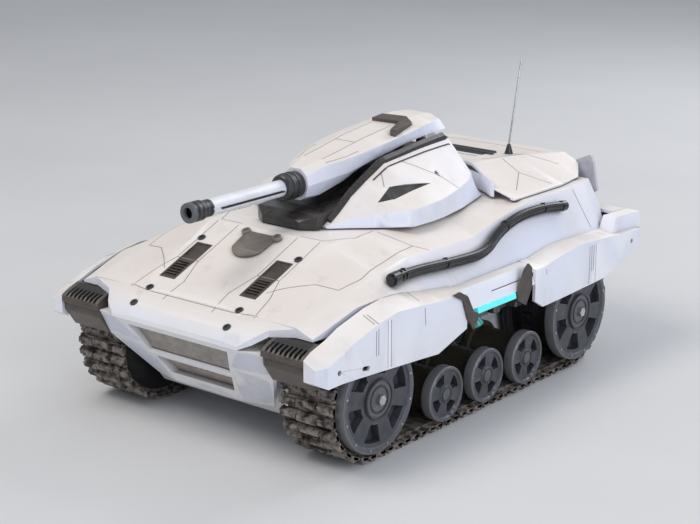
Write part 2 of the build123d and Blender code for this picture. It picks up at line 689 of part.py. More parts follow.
# ---- tracks: a belt around the wheels and the links that it carries ----
SPAN = REAR_AXLE_Y - FRONT_AXLE_Y
MID_AXLE_Y = (REAR_AXLE_Y + FRONT_AXLE_Y) / 2
with BuildPart() as track_belts:
    with BuildSketch(side_plane(TRACK_INNER_X + 4)):
        with Locations((MID_AXLE_Y, AXLE_Z)):
            SlotCenterToCenter(SPAN, 2 * (BELT_INNER_R + BELT_T))
            SlotCenterToCenter(SPAN, 2 * BELT_INNER_R, mode=Mode.SUBTRACT)
    extrude(amount=TRACK_OUTER_X - TRACK_INNER_X - 8)
    mirror(about=Plane.YZ)
finish(track_belts, "track_belts")


def on_belt(distance):
    """Location on the belt's outer face, distance along it, with local +Z outwards."""
    r = BELT_INNER_R + BELT_T
    bend = pi * r
    if distance < SPAN:
        return Location((0, REAR_AXLE_Y - distance, AXLE_Z - r), (180, 0, 0))
    distance -= SPAN
    if distance < bend:
        a = distance / r
        return Location((0, FRONT_AXLE_Y - r * sin(a), AXLE_Z - r * cos(a)), (180 - degrees(a), 0, 0))
    distance -= bend
    if distance < SPAN:
        return Location((0, FRONT_AXLE_Y + distance, AXLE_Z + r), (0, 0, 0))
    a = (distance - SPAN) / r
    return Location((0, REAR_AXLE_Y + r * sin(a), AXLE_Z + r * cos(a)), (-degrees(a), 0, 0))


BELT_LENGTH = 2 * SPAN + 2 * pi * (BELT_INNER_R + BELT_T)
PITCH = BELT_LENGTH / LINKS
LINK_T = TRACK_T - BELT_T
with BuildPart(mode=Mode.PRIVATE) as link:
    with BuildSketch(side_plane(TRACK_INNER_X)):
        Polygon((-3.9, 0), (3.9, 0), (3.4, 2.6), (2.3, LINK_T), (-2.3, LINK_T), (-3.4, 2.6), align=None)
    extrude(amount=TRACK_OUTER_X - TRACK_INNER_X)
with BuildPart() as left_track_links:
    with Locations(*[on_belt((i + 0.5) * PITCH) for i in range(LINKS)]):
        add(link.part)
finish(left_track_links, "left_track_links")
mirror_piece(left_track_links, "right_track_links")

# ---- vents, caps, pad and frame of the glacis and nose ----
with BuildPart() as glacis_vents:
    with BuildSketch(GLACIS.offset(0.1)):
        with Locations((VENT_X, 0)):
            Rectangle(VENT_SIZE[0] - 0.2, VENT_SIZE[1] - 0.2)
    extrude(amount=-3.4)
    # grille opening in the front half, over a thin floor
    with BuildSketch(GLACIS.offset(1)):
        with Locations((VENT_X, -VENT_SIZE[1] / 4)):
            Rectangle(VENT_SIZE[0] - 4, VENT_SIZE[1] / 2 - 4)
    extrude(amount=-3.2, mode=Mode.SUBTRACT)
    # slats across the opening
    with BuildSketch(GLACIS.offset(-0.6)):
        with Locations((VENT_X, -VENT_SIZE[1] / 4)):
            with GridLocations(1, 3, 1, 6):
                Rectangle(VENT_SIZE[0] - 3.5, 1.2)
    extrude(amount=-1.7)
    # shallow tray in the rear half
    with BuildSketch(GLACIS.offset(1)):
        with Locations((VENT_X, VENT_SIZE[1] / 4)):
            Rectangle(VENT_SIZE[0] - 3, VENT_SIZE[1] / 2 - 3)
    extrude(amount=-1.9, mode=Mode.SUBTRACT)
    mirror(about=Plane.YZ)
finish(glacis_vents, "glacis_vents")

with BuildPart() as hull_caps:
    for plane in cap_planes():
        with BuildSketch(plane.offset(0.9)):
            Circle(CAP_R)
        extrude(amount=-3.2)
        with BuildSketch(plane.offset(0.9)):
            Circle(CAP_R * 0.55)
        extrude(amount=-0.7, mode=Mode.SUBTRACT)
    mirror(about=Plane.YZ)
finish(hull_caps, "hull_caps")

PAD_W = 30.0
with BuildPart() as glacis_pad:
    with BuildSketch(GLACIS.offset(0.5)):
        with BuildLine():
            front = Polyline((-PAD_W / 2, 44), (-PAD_W / 2 + 2, 24))
            RadiusArc(front @ 1, (PAD_W / 2 - 2, 24), -14.5)
            Polyline((PAD_W / 2 - 2, 24), (PAD_W / 2, 44), (-PAD_W / 2, 44))
        make_face()
    extrude(amount=1.3)
    # screw rings at the pad's edges
    with BuildSketch(GLACIS.offset(0.5)):
        with Locations((-PAD_W / 2, 43), (PAD_W / 2, 43)):
            Circle(3.6)
    extrude(amount=2.2)
    with BuildSketch(GLACIS.offset(2.0)):
        with Locations((-PAD_W / 2, 43), (PAD_W / 2, 43)):
            Circle(2.2)
    extrude(amount=2, mode=Mode.SUBTRACT)
finish(glacis_pad, "glacis_pad")

# Each row is z, then the right half outline from the front to the back (x, y).
NOSE_FRAME = [
    (86.2, [(60, -210.3), (79.8, -206), (79.8, -191), (76.5, -190), (76.5, -177.8)]),
    (66, [(42, -198), (79.8, -195.5), (79.8, -191), (76.5, -190), (76.5, -177.8)]),
    (33, [(33, -175), (58, -169), (57.5, -168), (57, -167.3), (55, -166.8)]),
]
with BuildPart() as nose_frame:
    for z, half in NOSE_FRAME:
        with BuildSketch(Plane.XY.offset(z)):
            Polygon(*both_sides(half), align=None)
    loft(ruled=True)
    # opening between the legs
    with BuildSketch(cross_plane(-212)):
        Polygon((-49, 82), (49, 82), (31, 42), (-31, 42), align=None)
    extrude(amount=-60, mode=Mode.SUBTRACT)
    # bright bar across the opening
    with BuildSketch(side_plane(-42)):
        Polygon((-193.5, 62), (-195, 59.5), (-192, 56.5), (-186, 58), (-188, 62), align=None)
    extrude(amount=84)
finish(nose_frame, "nose_frame")

with BuildPart() as nose_grille:
    with BuildSketch(Plane.XY.offset(81)):
        with Locations((0, -198)):
            Rectangle(96, 5)
    with BuildSketch(Plane.XY.offset(62.5)):
        with Locations((0, -190)):
            Rectangle(78, 5)
    loft(ruled=True)
    with BuildSketch(Plane.XY.offset(56)):
        with Locations((0, -184)):
            Rectangle(72, 5)
    with BuildSketch(Plane.XY.offset(43)):
        with Locations((0, -173)):
            Rectangle(61, 5)
    loft(ruled=True)
    # slots under the bar
    with BuildSketch(cross_plane(-200)):
        with Locations((0, 53)):
            with GridLocations(5.4, 1, 11, 1):
                Rectangle(3.6, 3.4)
    extrude(amount=-40, mode=Mode.SUBTRACT)
finish(nose_grille, "nose_grille")

# ---- raised rear deck, hollow, with a round recess that clears the turret ----
REAR_DECK_TOP = [
    (76, (36, 161.2), (93, 142.6)),
    (143, (44, 160), (94, 143)),
    (178, (54, 157), (88, 142.5)),
    (202, (59, 155), (73, 148)),
]
with BuildPart() as rear_deck:
    for y, top, edge in REAR_DECK_TOP:
        with BuildSketch(cross_plane(y)):
            Polygon(*both_sides([top, edge, (edge[0], 141.4)]), align=None)
    loft(ruled=True)
    for y, top, edge in REAR_DECK_TOP:
        y_in = y - WALL if y > 190 else y
        with BuildSketch(cross_plane(y_in)):
            low = edge[0] - 4
            Polygon(*both_sides([(top[0] - 1, top[1] - WALL), (low, edge[1]), (low, 141)]), align=None)
    loft(ruled=True, mode=Mode.SUBTRACT)
    # front wall around the recess
    with BuildSketch(Plane.XY.offset(141.4)):
        with Locations((0, TURRET_Y)):
            Circle(SWEEP_R + WALL)
        with Locations((0, 116)):
            Rectangle(160, 80, mode=Mode.INTERSECT)
    extrude(amount=13)
    with BuildSketch(Plane.XY.offset(140)):
        with Locations((0, TURRET_Y)):
            Circle(SWEEP_R)
    extrude(amount=40, mode=Mode.SUBTRACT)
    # two intake slots across the top, behind the turret
    with BuildSketch(Plane.XY.offset(150)):
        with Locations((0, 121), (0, 131)):
            SlotOverall(52, 5)
    extrude(amount=20, mode=Mode.SUBTRACT)
finish(rear_deck, "rear_deck")

# ---- antenna ----
ANTENNA_AT = (39, 147)
with BuildPart() as antenna_base:
    with BuildSketch(Plane.XY.offset(160.1)):
        with Locations(ANTENNA_AT):
            Circle(3.6)
    with BuildSketch(Plane.XY.offset(168)):
        with Locations(ANTENNA_AT):
            Circle(1.3)
    loft()
finish(antenna_base, "antenna_base")

WHIP_TOP = Vector(ANTENNA_AT[0], ANTENNA_AT[1] + 15, 237)
WHIP_FOOT = Vector(*ANTENNA_AT, 168)
with BuildPart() as antenna_whip:
    with BuildSketch(Plane(origin=WHIP_FOOT + Vector(0, 0.1, 0.3), z_dir=WHIP_TOP - WHIP_FOOT)):
        Circle(0.75)
    extrude(amount=(WHIP_TOP - WHIP_FOOT).length)
finish(antenna_whip, "antenna_whip")

# ---- tail plates behind the rear deck ----
with BuildPart() as tail_plates:
    with BuildSketch(cross_plane(202.5)):
        Polygon((62, 146), (84, 156), (87, 150), (92, 126), (81, 118), (70, 132), align=None)
    extrude(amount=-3)
    # stay that joins the plate to the hull
    with BuildSketch(cross_plane(188.1)):
        Polygon((76, 134), (83, 136), (84, 124), (80, 122), align=None)
    extrude(amount=-14.5)
    mirror(about=Plane.YZ)
finish(tail_plates, "tail_plates")

# ---- turret ----
# Each row is y, inner edge of the cheek (x, z), crease (x, z), half width at the base.
TURRET = [
    (-81, (30, 142.6), (31.5, 141.9), 33),
    (-68, (30, 150), (42, 147), 46),
    (-53, (30, 161), (58, 149.5), 63),
    (-36, (30, 169.5), (74, 152), 79),
    (-14, (30, 180), (76, 153), 80),
    (2, (30, 181.5), (76, 153.5), 79),
    (34, (30, 185), (69, 155), 73),
    (59, (29.5, 187.5), (61.5, 157), 66),
    (69, (29.5, 188.5), (56, 160), 63),
    (80, (29.5, 150), (51, 147), 59),
]
CHANNEL_X = 29.4            # half width of the channel between the cheeks


def turret_half(row, inset):
    """Right half section of the turret at one station, drawn in by inset."""
    _, (xi, zi), (xc, zc), base = row
    low = TURRET_BASE_Z + inset
    return [(xi, max(zi - inset, low + 0.3)), (xc - inset, max(zc - inset, low + 0.2)), (base - inset - 0.5, low)]


def cheek_point(y, along):
    """Point on the cheek's upper face: along 0 is its inner edge, 1 its crease."""
    for row0, row1 in zip(TURRET, TURRET[1:]):
        if row0[0] <= y <= row1[0]:
            t = (y - row0[0]) / (row1[0] - row0[0])
            inner = [a + t * (b - a) for a, b in zip(row0[1], row1[1])]
            crease = [a + t * (b - a) for a, b in zip(row0[2], row1[2])]
            x, z = (a + along * (b - a) for a, b in zip(inner, crease))
            return Vector(x, y, z)
    return None


# the diamond window: front tip, top, rear tip and bottom on the cheek
WINDOW = [cheek_point(-44.5, 0.60), cheek_point(-27, 0.42), cheek_point(9, 0.68), cheek_point(-34, 0.66)]
WINDOW_NORMAL = (WINDOW[2] - WINDOW[0]).cross(WINDOW[1] - WINDOW[0]).normalized()
WINDOW_PLANE = Plane(origin=WINDOW[0], x_dir=WINDOW[2] - WINDOW[0], z_dir=WINDOW_NORMAL)
WINDOW_FLAT = [tuple(WINDOW_PLANE.to_local_coords(p))[:2] for p in WINDOW]

with BuildPart() as turret_shell:
    for row in TURRET:
        with BuildSketch(cross_plane(row[0])):
            Polygon(*both_sides([row[1], row[2], (row[3], TURRET_BASE_Z)]), align=None)
    loft(ruled=True)
    for row in TURRET[1:-1]:
        y_in = row[0] + (5 if row is TURRET[1] else 0)
        with BuildSketch(cross_plane(y_in)):
            Polygon(*both_sides(turret_half(row, WALL)), align=None)
    loft(ruled=True, mode=Mode.SUBTRACT)
    # channel for the gun, open at the front and on top
    with BuildSketch(Plane.XY.offset(TURRET_BASE_Z + 2)):
        with Locations((0, -9)):
            Rectangle(2 * CHANNEL_X, 166)
    extrude(amount=60, mode=Mode.SUBTRACT)
    # wire hole in the floor
    with BuildSketch(Plane.XY.offset(TURRET_BASE_Z - 1)):
        with Locations((0, TURRET_Y)):
            Circle(20)
    extrude(amount=5, mode=Mode.SUBTRACT)
    # window pockets
    for side in (1, -1):
        pocket = Plane(
            origin=(side * WINDOW[0].X, WINDOW[0].Y, WINDOW[0].Z),
            x_dir=(side * WINDOW_PLANE.x_dir.X, WINDOW_PLANE.x_dir.Y, WINDOW_PLANE.x_dir.Z),
            z_dir=(side * WINDOW_NORMAL.X, WINDOW_NORMAL.Y, WINDOW_NORMAL.Z),
        )
        with BuildSketch(pocket.offset(-1.2)):
            Polygon(*[(x, side * y) for x, y in WINDOW_FLAT], align=None)
            offset(amount=0.1, kind=Kind.INTERSECTION)
        extrude(amount=6, mode=Mode.SUBTRACT)
    # round sockets at the rear of the cheeks
    with BuildSketch(side_plane(-70)):
        with Locations((26, 166.5)):
            Circle(1.8)
    extrude(amount=140, mode=Mode.SUBTRACT)
finish(turret_shell, "turret_shell")

with BuildPart() as turret_windows:
    with BuildSketch(WINDOW_PLANE.offset(-1.1)):
        Polygon(*WINDOW_FLAT, align=None)
    extrude(amount=1.5)
    mirror(about=Plane.YZ)
finish(turret_windows, "turret_windows")

with BuildPart() as turret_ring:
    with BuildSketch(Plane.XY.offset(133)):
        with Locations((0, TURRET_Y)):
            Circle(RING_BORE_R - RUN)
            Circle(20, mode=Mode.SUBTRACT)
    extrude(amount=TURRET_BASE_Z - 133)
    # flange that keeps the ring under the deck
    with BuildSketch(Plane.XY.offset(133)):
        with Locations((0, TURRET_Y)):
            Circle(RING_BORE_R + 3)
            Circle(20, mode=Mode.SUBTRACT)
    extrude(amount=3.8)
    with BuildSketch(Plane.XY.offset(126)):
        with Locations((0, TURRET_Y)):
            Polygon(*gear_outline(RING_TEETH, pi / 2), align=None)
            Circle(20, mode=Mode.SUBTRACT)
    extrude(amount=7)
finish(turret_ring, "turret_ring")

with BuildPart() as traverse_pinion:
    with BuildSketch(Plane.XY.offset(SHELF_Z - MOTOR_L)):
        with Locations((0, TRAVERSE_MOTOR_Y)):
            Circle(MOTOR_SHAFT_R)
    extrude(amount=131.5 - SHELF_Z + MOTOR_L)
    with BuildSketch(Plane.XY.offset(125.5)):
        with Locations((0, TRAVERSE_MOTOR_Y)):
            Polygon(*gear_outline(PINION_TEETH, -pi / 2 + pi / PINION_TEETH), align=None)
    extrude(amount=6)
finish(traverse_pinion, "traverse_pinion")

# ---- trough between the cheeks: y, height at its sides, height along its middle ----
TROUGH = [(-96, 146, 147.5), (-88, 151, 151.5), (-68, 152, 151), (-53, 158, 155), (-36, 166, 160), (-14, 176, 168),
          (2, 178, 171), (34, 181.5, 174.5), (69, 184.5, 177.5)]
TROUGH_X = CHANNEL_X - 0.2
PIVOT_EAR_X = (9.5, 13)
PIN_R = 2.0
with BuildPart() as gun_trough:
    for y, side_z, middle_z in TROUGH:
        half = 18 if y < -90 else TROUGH_X
        with BuildSketch(cross_plane(y)):
            Polygon(*both_sides([(14, middle_z), (half, side_z), (half, TURRET_BASE_Z + 2.1)]), align=None)
    loft(ruled=True)
    # the apron's lip in front of the turret floor comes down to the deck
    with BuildSketch(Plane.XY.offset(TURRET_BASE_Z)):
        Polygon(
            (-18, -96), (18, -96), (TROUGH_X, -88), (TROUGH_X, -82.2), (-TROUGH_X, -82.2), (-TROUGH_X, -88),
            align=None)
    extrude(amount=4)
    # ears that hold the gun's pivot pin
    for side in (1, -1):
        near = min(side * PIVOT_EAR_X[0], side * PIVOT_EAR_X[1])
        with BuildSketch(side_plane(near)):
            with BuildLine():
                Polyline((TRUNNION_Y - 6, 170), (TRUNNION_Y - 3.8, TRUNNION_Z), (TRUNNION_Y + 3.8, TRUNNION_Z),
                         (TRUNNION_Y + 6, 170), close=True)
            make_face()
            with Locations((TRUNNION_Y, TRUNNION_Z)):
                Circle(3.8)
                Circle(PIN_R + RUN, mode=Mode.SUBTRACT)
        extrude(amount=PIVOT_EAR_X[1] - PIVOT_EAR_X[0])
finish(gun_trough, "gun_trough")

# ---- gun hood: a hollow cover that tapers to a round nose around the barrel ----
# Each row is y, then the right half section (x, z) from the top down.
HOOD = [
    (-78, [(5, 181.3), (10.5, 176.5), (12.5, 169), (9, 160.2), (4, 157.2)]),
    (-64, [(8, 184.8), (16, 182.5), (17.5, 172), (11, 160), (5, 157.2)]),
    (-40, [(12, 189), (24, 186.5), (21, 174.5), (14, 166.5), (8, 165.5)]),
    (-10, [(12, 194.5), (27, 191), (23, 180.5), (17, 178), (10, 177)]),
    (25, [(12, 199), (27, 195), (25, 187), (19, 184), (12, 183)]),
    (55, [(12, 203), (25, 198.5), (27, 190.5), (21, 188), (14, 187)]),
    (74, [(11, 201.5), (20, 198), (27, 191), (21, 189.5), (14, 188.5)]),
]
COLLAR_Y = (-96, -78)
COLLAR_R = 10.0
with BuildPart() as gun_hood:
    for y, half in HOOD:
        with BuildSketch(cross_plane(y)):
            Polygon(*both_sides(half), align=None)
    loft(ruled=True)
    # hollow behind the solid nose, open below
    for y, half in HOOD[2:]:
        y_in = y + 8 if y == HOOD[2][0] else y - WALL if y == HOOD[-1][0] else y
        (x0, z0), (x1, z1), (x2, z2), (x3, z3), (x4, z4) = half
        with BuildSketch(cross_plane(y_in)):
            roof = [(x0 - 1, z0 - WALL), (x1 - WALL, z1 - WALL), (x2 - WALL, z2)]
            inner = roof + [(x3 - 1, z3 - 4), (x4, z4 - 6)]
            Polygon(*both_sides(inner), align=None)
    loft(ruled=True, mode=Mode.SUBTRACT)
    # bore for the barrel's sleeve
    with BuildSketch(cross_plane(-79)):
        with Locations((0, GUN_Z)):
            Circle(BARREL_R + RUN)
    extrude(amount=-52, mode=Mode.SUBTRACT)
    # pivot pin on two lugs under the roof
    for side in (1, -1):
        near = min(side * 5, side * 8.5)
        with BuildSketch(side_plane(near)):
            with BuildLine():
                Polyline((TRUNNION_Y - 8, 201), (TRUNNION_Y - 3.8, TRUNNION_Z), (TRUNNION_Y + 3.8, TRUNNION_Z),
                         (TRUNNION_Y + 8, 201), close=True)
            make_face()
            with Locations((TRUNNION_Y, TRUNNION_Z)):
                Circle(3.8)
        extrude(amount=3.5)
    with BuildSketch(side_plane(-15)):
        with Locations((TRUNNION_Y, TRUNNION_Z)):
            Circle(PIN_R)
    extrude(amount=30)
finish(gun_hood, "gun_hood")

with BuildPart() as barrel_collar:
    with BuildSketch(cross_plane(COLLAR_Y[0])):
        with Locations((0, GUN_Z)):
            Circle(COLLAR_R)
            Circle(BARREL_R + RUN, mode=Mode.SUBTRACT)
    extrude(amount=COLLAR_Y[0] - COLLAR_Y[1])
    front_circles = barrel_collar.edges().filter_by(GeomType.CIRCLE).group_by(Axis.Y)[0]
    chamfer(front_circles.sort_by(SortBy.RADIUS)[-1], 1.5)
finish(barrel_collar, "barrel_collar")

with BuildPart() as gun_barrel:
    with BuildSketch(Plane(origin=(0, 0, GUN_Z), x_dir=(1, 0, 0), z_dir=(0, 0, 1))):
        # half section: radius along X, length along Y
        Polygon(
            (4.2, MUZZLE_Y), (7.2, MUZZLE_Y), (7.4, MUZZLE_Y + 1), (7.4, MUZZLE_Y + 12), (6.6, MUZZLE_Y + 14),
            (BARREL_R, MUZZLE_Y + 15), (BARREL_R, -40), (0, -40),
            (0, -100), (0, MUZZLE_Y + 22), (4.2, MUZZLE_Y + 22),
            align=None,
        )
    revolve(axis=Axis((0, 0, GUN_Z), (0, 1, 0)))
    # long groove in each side
    for side in (1, -1):
        with BuildSketch(side_plane(side * (BARREL_R - 0.9))):
            with Locations(((MUZZLE_Y + 18 - 100) / 2, GUN_Z)):
                SlotOverall(-100 - MUZZLE_Y - 18, 1.6)
        extrude(amount=side * 3, mode=Mode.SUBTRACT)
finish(gun_barrel, "gun_barrel")

# ---- sight on the hood: a bar across the roof with a leg down its left side ----
with BuildPart() as sight_blank:
    with BuildSketch(Plane.XY.offset(190)):
        Polygon((-12, 28), (-11, 40), (12, 42), (20, 38), (25, 10), (21, 9), (14, 29), align=None)
    extrude(amount=20)
    # its top is a little proud of the roof, level across the bar and falling with the leg
    with BuildSketch(side_plane(-20)):
        Polygon((0, 198.2), (50, 205), (50, 230), (0, 230), align=None)
    extrude(amount=60, mode=Mode.SUBTRACT)
    with BuildSketch(cross_plane(0)):
        Polygon((12, 203.5), (30, 197.5), (30, 230), (12, 230), align=None)
    extrude(amount=-60, mode=Mode.SUBTRACT)
    add(gun_hood.part, mode=Mode.SUBTRACT)
with BuildPart() as roof_sight:
    add(sight_blank.solids().sort_by(Axis.Z)[-1])
finish(roof_sight, "roof_sight")
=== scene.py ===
import json
import random
from math import cos, pi, radians, sin

import bmesh
import bpy
from mathutils import Matrix, Vector
from mathutils.bvhtree import BVHTree


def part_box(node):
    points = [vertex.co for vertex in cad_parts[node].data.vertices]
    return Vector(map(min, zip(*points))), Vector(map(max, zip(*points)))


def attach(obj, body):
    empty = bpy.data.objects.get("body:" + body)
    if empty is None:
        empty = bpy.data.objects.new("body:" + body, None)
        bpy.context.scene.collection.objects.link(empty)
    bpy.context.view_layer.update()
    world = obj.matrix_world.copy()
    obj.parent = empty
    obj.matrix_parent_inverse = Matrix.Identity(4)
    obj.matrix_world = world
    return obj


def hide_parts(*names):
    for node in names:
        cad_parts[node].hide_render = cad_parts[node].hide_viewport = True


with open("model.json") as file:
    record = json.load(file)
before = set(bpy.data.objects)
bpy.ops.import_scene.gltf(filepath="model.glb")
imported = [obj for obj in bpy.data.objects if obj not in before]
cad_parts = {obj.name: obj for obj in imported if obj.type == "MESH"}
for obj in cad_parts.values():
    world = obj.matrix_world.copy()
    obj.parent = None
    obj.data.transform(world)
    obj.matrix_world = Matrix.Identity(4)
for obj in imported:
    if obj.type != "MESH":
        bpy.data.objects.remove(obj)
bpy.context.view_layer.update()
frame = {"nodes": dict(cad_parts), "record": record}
MM = 0.001
SIDES = (("left", 1), ("right", -1))
ROAD_NUMBERS = (1, 2, 3)
NODES = frame["nodes"]
DOWN = Vector((0, 0, -1))
# Rays that look for a surface start this far outside it.
RAY_START = 50 * MM


def centre(node):
    low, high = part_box(node)
    return (low + high) / 2


# ---------------------------------------------------------------- materials
class Shader:
    """Short way to write a material's node tree."""

    # Sockets of Blender's colour mix node.
    MIX_FACTOR, MIX_FIRST, MIX_SECOND, MIX_RESULT = 0, 6, 7, 2

    def __init__(self, name):
        self.material = bpy.data.materials.new(name)
        self.material.use_nodes = True
        self.tree = self.material.node_tree
        self.bsdf = self.tree.nodes["Principled BSDF"]
        self.coords = self.node("ShaderNodeTexCoord").outputs["Object"]

    def node(self, kind, **values):
        made = self.tree.nodes.new(kind)
        for key, value in values.items():
            setattr(made, key, value)
        return made

    def link(self, source, target):
        self.tree.links.new(source, target)

    def feed(self, socket, value):
        """Put a number, a colour or another node's output into a socket."""
        if isinstance(value, (int, float)):
            socket.default_value = value
        elif isinstance(value, tuple):
            socket.default_value = (*value, 1)
        else:
            self.link(value, socket)

    def set(self, name, value):
        self.feed(self.bsdf.inputs[name], value)

    def noise(self, scale, detail=4.0, rough=0.6, stretch=(1, 1, 1)):
        mapping = self.node("ShaderNodeMapping")
        mapping.inputs["Scale"].default_value = stretch
        self.link(self.coords, mapping.inputs["Vector"])
        made = self.node("ShaderNodeTexNoise")
        made.inputs["Scale"].default_value = scale
        made.inputs["Detail"].default_value = detail
        made.inputs["Roughness"].default_value = rough
        self.link(mapping.outputs["Vector"], made.inputs["Vector"])
        return made.outputs["Fac"]

    def bands(self, direction, scale):
        """Waves along one axis, for ribs and rings."""
        made = self.node("ShaderNodeTexWave", wave_type="BANDS", bands_direction=direction)
        made.inputs["Scale"].default_value = scale
        self.link(self.coords, made.inputs["Vector"])
        return made.outputs["Fac"]

    def ramp(self, value, low, high, start=0.0, end=1.0):
        """Grey that goes from start to end as the value goes from low to high."""
        made = self.node("ShaderNodeValToRGB")
        first, last = made.color_ramp.elements
        first.position, first.color = low, (start, start, start, 1)
        last.position, last.color = high, (end, end, end, 1)
        self.link(value, made.inputs["Fac"])
        return made.outputs["Color"]

    def mix(self, factor, first, second):
        made = self.node("ShaderNodeMix", data_type="RGBA", blend_type="MIX")
        self.feed(made.inputs[self.MIX_FACTOR], factor)
        self.feed(made.inputs[self.MIX_FIRST], first)
        self.feed(made.inputs[self.MIX_SECOND], second)
        return made.outputs[self.MIX_RESULT]

    def maths(self, operation, first, second=0.0):
        made = self.node("ShaderNodeMath", operation=operation)
        self.feed(made.inputs[0], first)
        self.feed(made.inputs[1], second)
        return made.outputs[0]

    def times(self, first, second):
        return self.maths("MULTIPLY", first, second)

    def near(self, value, middle, reach):
        """1 where the value is within reach of the middle, otherwise 0."""
        made = self.maths("COMPARE", value, middle)
        made.node.inputs[2].default_value = reach
        return made

    def axis(self, index):
        made = self.node("ShaderNodeSeparateXYZ")
        self.link(self.coords, made.inputs[0])
        return made.outputs[index]

    def edges(self, low=0.50, high=0.58):
        """Light edge mask, from how convex the surface is."""
        return self.ramp(self.node("ShaderNodeNewGeometry").outputs["Pointiness"], low, high)

    def bump(self, height, strength=0.2, distance=0.3 * MM):
        made = self.node("ShaderNodeBump")
        made.inputs["Strength"].default_value = strength
        made.inputs["Distance"].default_value = distance
        self.link(height, made.inputs["Height"])
        self.link(made.outputs["Normal"], self.bsdf.inputs["Normal"])


def white_shell():
    """White painted moulding with painted light: warm on faces that look up, cool on the sides, painted shade
    in creases, with faint grime.
    """
    painted_shade_cool_side, painted_light_warm_top = (0.72, 0.75, 0.86), (0.75, 0.685, 0.63)
    warm_stain, streak_brown = (0.66, 0.61, 0.57), (0.40, 0.36, 0.33)
    painted_crease_shade, low_dust, worn_edge = (0.12, 0.10, 0.09), (0.33, 0.29, 0.25), (0.93, 0.92, 0.90)
    s = Shader("white_shell")

    # Painted light: faces that look up get a warm lit tint, and side faces get a cool shaded tint.
    facing = s.node("ShaderNodeSeparateXYZ")
    s.link(s.node("ShaderNodeNewGeometry").outputs["Normal"], facing.inputs[0])
    tint = s.mix(s.ramp(facing.outputs[2], 0.45, 0.9), painted_shade_cool_side, painted_light_warm_top)

    blotches = s.ramp(s.noise(9, 6, 0.62), 0.42, 0.72)
    tint = s.mix(s.times(blotches, 0.55), tint, warm_stain)
    streaks = s.ramp(s.noise(55, 5, 0.7, (1, 1, 0.25)), 0.58, 0.80)
    tint = s.mix(s.times(streaks, 0.40), tint, streak_brown)

    # Painted shade: creases and corners are darkened, from ambient occlusion.
    occlusion = s.node("ShaderNodeAmbientOcclusion", samples=4)
    occlusion.inputs["Distance"].default_value = 5 * MM
    tint = s.mix(s.ramp(occlusion.outputs["AO"], 0.35, 0.85, 0.8, 0.0), tint, painted_crease_shade)

    # Dust fades out from 35 mm to 95 mm above the ground.
    decimetres_up = s.times(s.axis(2), 10.0)
    low_down = s.ramp(decimetres_up, 0.35, 0.95, 0.45, 0.0)
    dust = s.times(low_down, s.ramp(s.noise(40, 6, 0.7), 0.35, 0.7))
    tint = s.mix(dust, tint, low_dust)
    tint = s.mix(s.times(s.edges(), 0.6), tint, worn_edge)

    s.set("Base Color", tint)
    s.set("Roughness", s.ramp(s.noise(80, 4), 0.2, 0.8, 0.34, 0.52))
    s.set("Specular IOR Level", 0.45)
    s.bump(s.noise(900, 3), 0.08, 0.1 * MM)
    return s.material


def worn_plastic(name, base, light, rough=0.5, metal=0.0, scale=120, wear=0.6):
    """Dark moulded or painted surface with blotches, worn light edges and a fine grain."""
    s = Shader(name)
    halfway = tuple(0.5 * (a + b) for a, b in zip(base, light))
    tint = s.mix(s.ramp(s.noise(scale, 6, 0.65), 0.3, 0.75), base, halfway)
    s.set("Base Color", s.mix(s.times(s.edges(0.50, 0.60), wear), tint, light))
    s.set("Roughness", s.ramp(s.noise(scale * 2, 4), 0.2, 0.8, rough - 0.12, rough + 0.12))
    s.set("Metallic", metal)
    s.bump(s.noise(700, 4), 0.35, 0.2 * MM)
    return s.material


def track_dust():
    """Dark rubber and metal links with blotches of dry brown dust and bright scuffs."""
    rubber, brown_dust, scuffed = (0.008, 0.007, 0.006), (0.034, 0.026, 0.019), (0.34, 0.29, 0.25)
    s = Shader("track_rubber")
    tint = s.mix(s.ramp(s.noise(70, 8, 0.7), 0.38, 0.68), rubber, brown_dust)
    scuffs = s.times(s.edges(0.49, 0.56), s.ramp(s.noise(160, 5), 0.4, 0.6))
    s.set("Base Color", s.mix(s.times(scuffs, 0.8), tint, scuffed))
    s.set("Roughness", s.ramp(s.noise(200, 4), 0.2, 0.8, 0.45, 0.85))
    s.bump(s.noise(420, 6, 0.7), 0.7, 0.4 * MM)
    return s.material


# A wheel is disc outside this distance from the middle of the vehicle, and drum inside it.
WHEEL_DISC_X = 120.4 * MM
DRIVE_DRUM_BLACK = (0.035, 0.034, 0.036)
ROAD_DRUM_OLIVE = (0.050, 0.043, 0.026)


